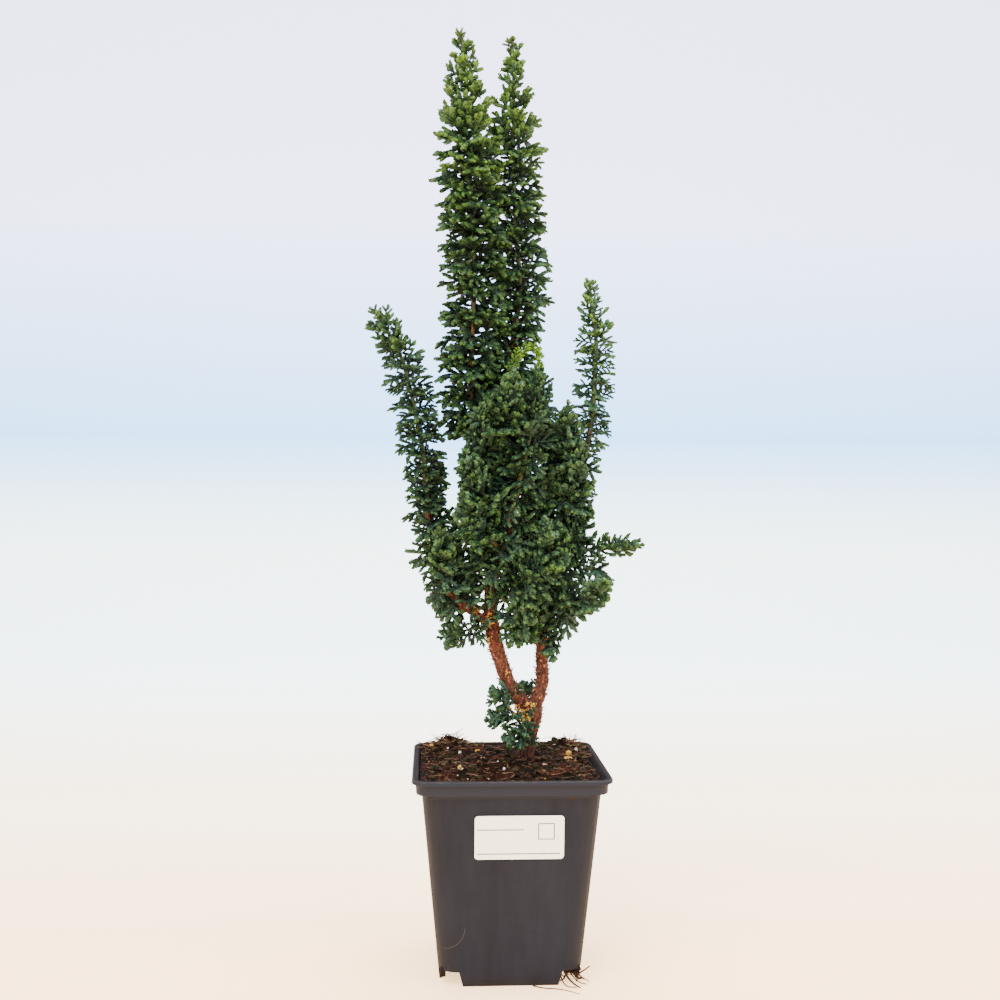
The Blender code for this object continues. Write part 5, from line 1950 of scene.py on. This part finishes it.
@dataclass
class Roots:
    """Fine roots that come out at the foot of the pot."""

    strands: tuple[tuple[Point, ...], ...] = (
        ((30, -31, 9), (33, -35, 6.5), (36.5, -37.5, 5.5), (40.5, -38, 7.5), (44, -37, 9.5)),
        ((31, -30, 8), (34, -36, 4.5), (37.5, -40, 2.0), (42, -41.5, 1.2)),
        ((29, -33, 8), (31.5, -38, 4.0), (35, -41, 1.2), (38, -45, 0.7)),
        ((32, -28, 8), (36, -33, 6.0), (40, -35, 2.6), (43.5, -38.5, 1.6)),
        ((27, -34, 7.5), (28.5, -39, 2.5), (31, -43, 0.8), (36, -44, 0.6)),
        ((33, -30, 7), (36, -34, 3.5), (38, -36.5, 4.5), (40.5, -39, 3.0)),
    )
    wisp: tuple[Point, ...] = (  # a thin one that lies on the table
        (12, -40.5, 0.5), (18, -44, 0.5), (25, -45.5, 0.5), (31, -48.5, 0.5), (36.5, -53, 0.5))
    radius: tuple[float, float] = (0.75, 0.35)  # at its start and end
    wisp_share: float = 0.55  # how thick the wisp is beside that
    curls: int = 12
    curl_step: float = 1.7
    notch: Point = (31.5, -33.0, 6.5)  # where the curls start, in the notch of the pot's foot

    def _curl(self, draw: random.Random) -> tuple[Point, ...]:
        """Draw a short root that curls out of the notch and stays above the table.

        Args:
            draw: the random source.

        Returns:
            The points of its route.
        """
        place = Vector(self.notch) + Vector((draw.uniform(-3, 3), draw.uniform(-2, 2), draw.uniform(-3, 2)))
        heading = math.radians(draw.uniform(-75, 20))
        points = [tuple(place)]
        for _ in range(6):
            heading += draw.uniform(-1.3, 1.3)
            ahead = Vector((math.cos(heading), math.sin(heading), draw.uniform(-0.9, 0.6)))
            place = place + ahead * self.curl_step
            place.z = max(0.8, place.z)
            points.append(tuple(place))
        return tuple(points)

    def build(self) -> None:
        """Build the roots."""
        gathering = Gathering()
        draw = random.Random(SEED + 6)
        strands = self.strands + tuple(self._curl(draw) for _ in range(self.curls)) + (self.wisp,)
        for points in strands:
            route = smooth_route(points, 1.6)
            thin = self.wisp_share if points is self.wisp else draw.uniform(0.6, 1.1)
            radii = tapered(len(route), self.radius[0] * thin, self.radius[1] * thin)
            gathering.add(mesh_of(sweep(route, radii, 5), "root"), Matrix.Identity(4), tone=draw.random())
        make_piece("fine_roots", gathering.mesh("roots"), (ROOT,), [])


def rough_lumps(count: int) -> list[bpy.types.Mesh]:
    """Rough grains one millimetre across.

    Args:
        count: how many different ones.

    Returns:
        Their meshes.
    """
    draw = random.Random(SEED + 1)
    lumps = []
    for _ in range(count):
        bm = bmesh.new()
        bmesh.ops.create_icosphere(bm, subdivisions=1, radius=0.5)
        for vert in bm.verts:
            vert.co *= draw.uniform(0.66, 1.0)
        lumps.append(mesh_of(bm, "lump"))
    return lumps


# Studio


@dataclass
class Studio:
    """Plain pale sweep, soft light and the camera at the photograph's viewing angle."""

    eye: Point = (-45.24, -709.89, 267.53)
    yaw: float = math.radians(3.224)
    roll: float = math.radians(0.325)
    lens: float = 43.95
    sensor: float = 36.0
    floor: Point = (3.0, 2.2, 1.0)  # half the floor's width and depth, in metres
    floor_middle: Point = (0.0, -0.7, 0.0)
    curve: Point = (0.0, 1.5, 0.9)  # what the floor bends up round, behind the plant
    steps: int = 14  # of the bend
    wall: float = 2.0  # height of the flat part above it
    lights: tuple[tuple[str, Point, float, float, Colour], ...] = (
        ("key_light", (-0.7, -1.1, 1.5), 1.1, 54.0, (1.0, 0.98, 0.95)),
        ("fill_light", (1.2, -0.9, 0.9), 1.2, 24.0, (0.94, 0.97, 1.0)),
        ("top_light", (0.1, 0.3, 1.7), 1.3, 54.0, (1.0, 1.0, 1.0)))
    aim: Point = (0.0, 0.0, 0.25)  # what the lights face
    air: tuple[float, float, float, float] = (0.86, 0.90, 0.96, 1.0)
    air_strength: float = 1.7

    def _camera(self) -> None:
        """Make the camera, level and turned as the photograph's was."""
        ahead = Vector((math.sin(self.yaw), math.cos(self.yaw), 0))
        right = Vector((math.cos(self.yaw), -math.sin(self.yaw), 0))
        up = right.cross(ahead)
        tilted_right = right * math.cos(self.roll) + up * math.sin(self.roll)
        tilted_up = up * math.cos(self.roll) - right * math.sin(self.roll)
        turn = Matrix((tilted_right, tilted_up, -ahead)).transposed().to_4x4()
        data = bpy.data.cameras.new("camera")
        data.lens = self.lens
        data.sensor_width = self.sensor
        data.clip_start = 0.01
        camera = bpy.data.objects.new("camera", data)
        camera.matrix_world = Matrix.Translation(Vector(self.eye) * METRES_PER_MM) @ turn
        bpy.context.scene.collection.objects.link(camera)
        bpy.context.scene.camera = camera

    def _sweep(self) -> None:
        """Floor that curves up into a backdrop far behind the plant."""
        bm = bmesh.new()
        bmesh.ops.create_grid(bm, x_segments=1, y_segments=1, size=1.0)
        bmesh.ops.scale(bm, vec=self.floor, verts=bm.verts)
        bmesh.ops.translate(bm, verts=bm.verts, vec=self.floor_middle)
        back = [edge for edge in bm.edges if all(vert.co.y > 1.0 for vert in edge.verts)]
        turn = Matrix.Rotation(math.radians(90 / self.steps), 3, "X")
        for _ in range(self.steps):
            verts, back = extrude_edges(bm, back)
            bmesh.ops.rotate(bm, cent=self.curve, matrix=turn, verts=verts)
        verts, back = extrude_edges(bm, back)
        bmesh.ops.translate(bm, verts=verts, vec=(0, 0, self.wall))
        mesh = mesh_of(bm, "studio_sweep")
        mesh.shade_smooth()
        mesh.materials.append(STUDIO.material())
        sheet = bpy.data.objects.new("studio_sweep", mesh)
        bpy.context.scene.collection.objects.link(sheet)

    def _light(self, name: str, place: Point, size: float, power: float, colour: Colour) -> None:
        """Hang one soft square light that faces the plant.

        Args:
            name: the light's name.
            place: where it hangs, in metres.
            size: its side, in metres.
            power: in watts.
            colour: of its light.
        """
        data = bpy.data.lights.new(name, "AREA")
        data.energy = power
        data.size = size
        data.color = colour
        light = bpy.data.objects.new(name, data)
        light.location = place
        ahead = Vector(self.aim) - Vector(place)
        light.rotation_euler = ahead.to_track_quat("-Z", "Y").to_euler()
        bpy.context.scene.collection.objects.link(light)

    def build(self) -> None:
        """Build the studio."""
        self._sweep()
        for light in self.lights:
            self._light(*light)
        world = bpy.data.worlds.new("studio_air")
        world.use_nodes = True
        background = world.node_tree.nodes["Background"]
        background.inputs["Color"].default_value = self.air
        background.inputs["Strength"].default_value = self.air_strength
        bpy.context.scene.world = world
        self._camera()


def main() -> None:
    """Build everything in order."""
    logging.basicConfig(level=logging.INFO, format="%(message)s")
    Studio().build()
    lumps = rough_lumps(6)
    Pot().build()
    Label().build()
    Soil().build(lumps)
    Roots().build()
    limbs = limb_routes()
    Trunk(limbs).build(lumps)
    moulds = SprayMoulds()
    moulds.make()
    foliage = Foliage(moulds)
    Spires().build(foliage)
    Bush(limbs).build(foliage)


if __name__ == "__main__":
    main()
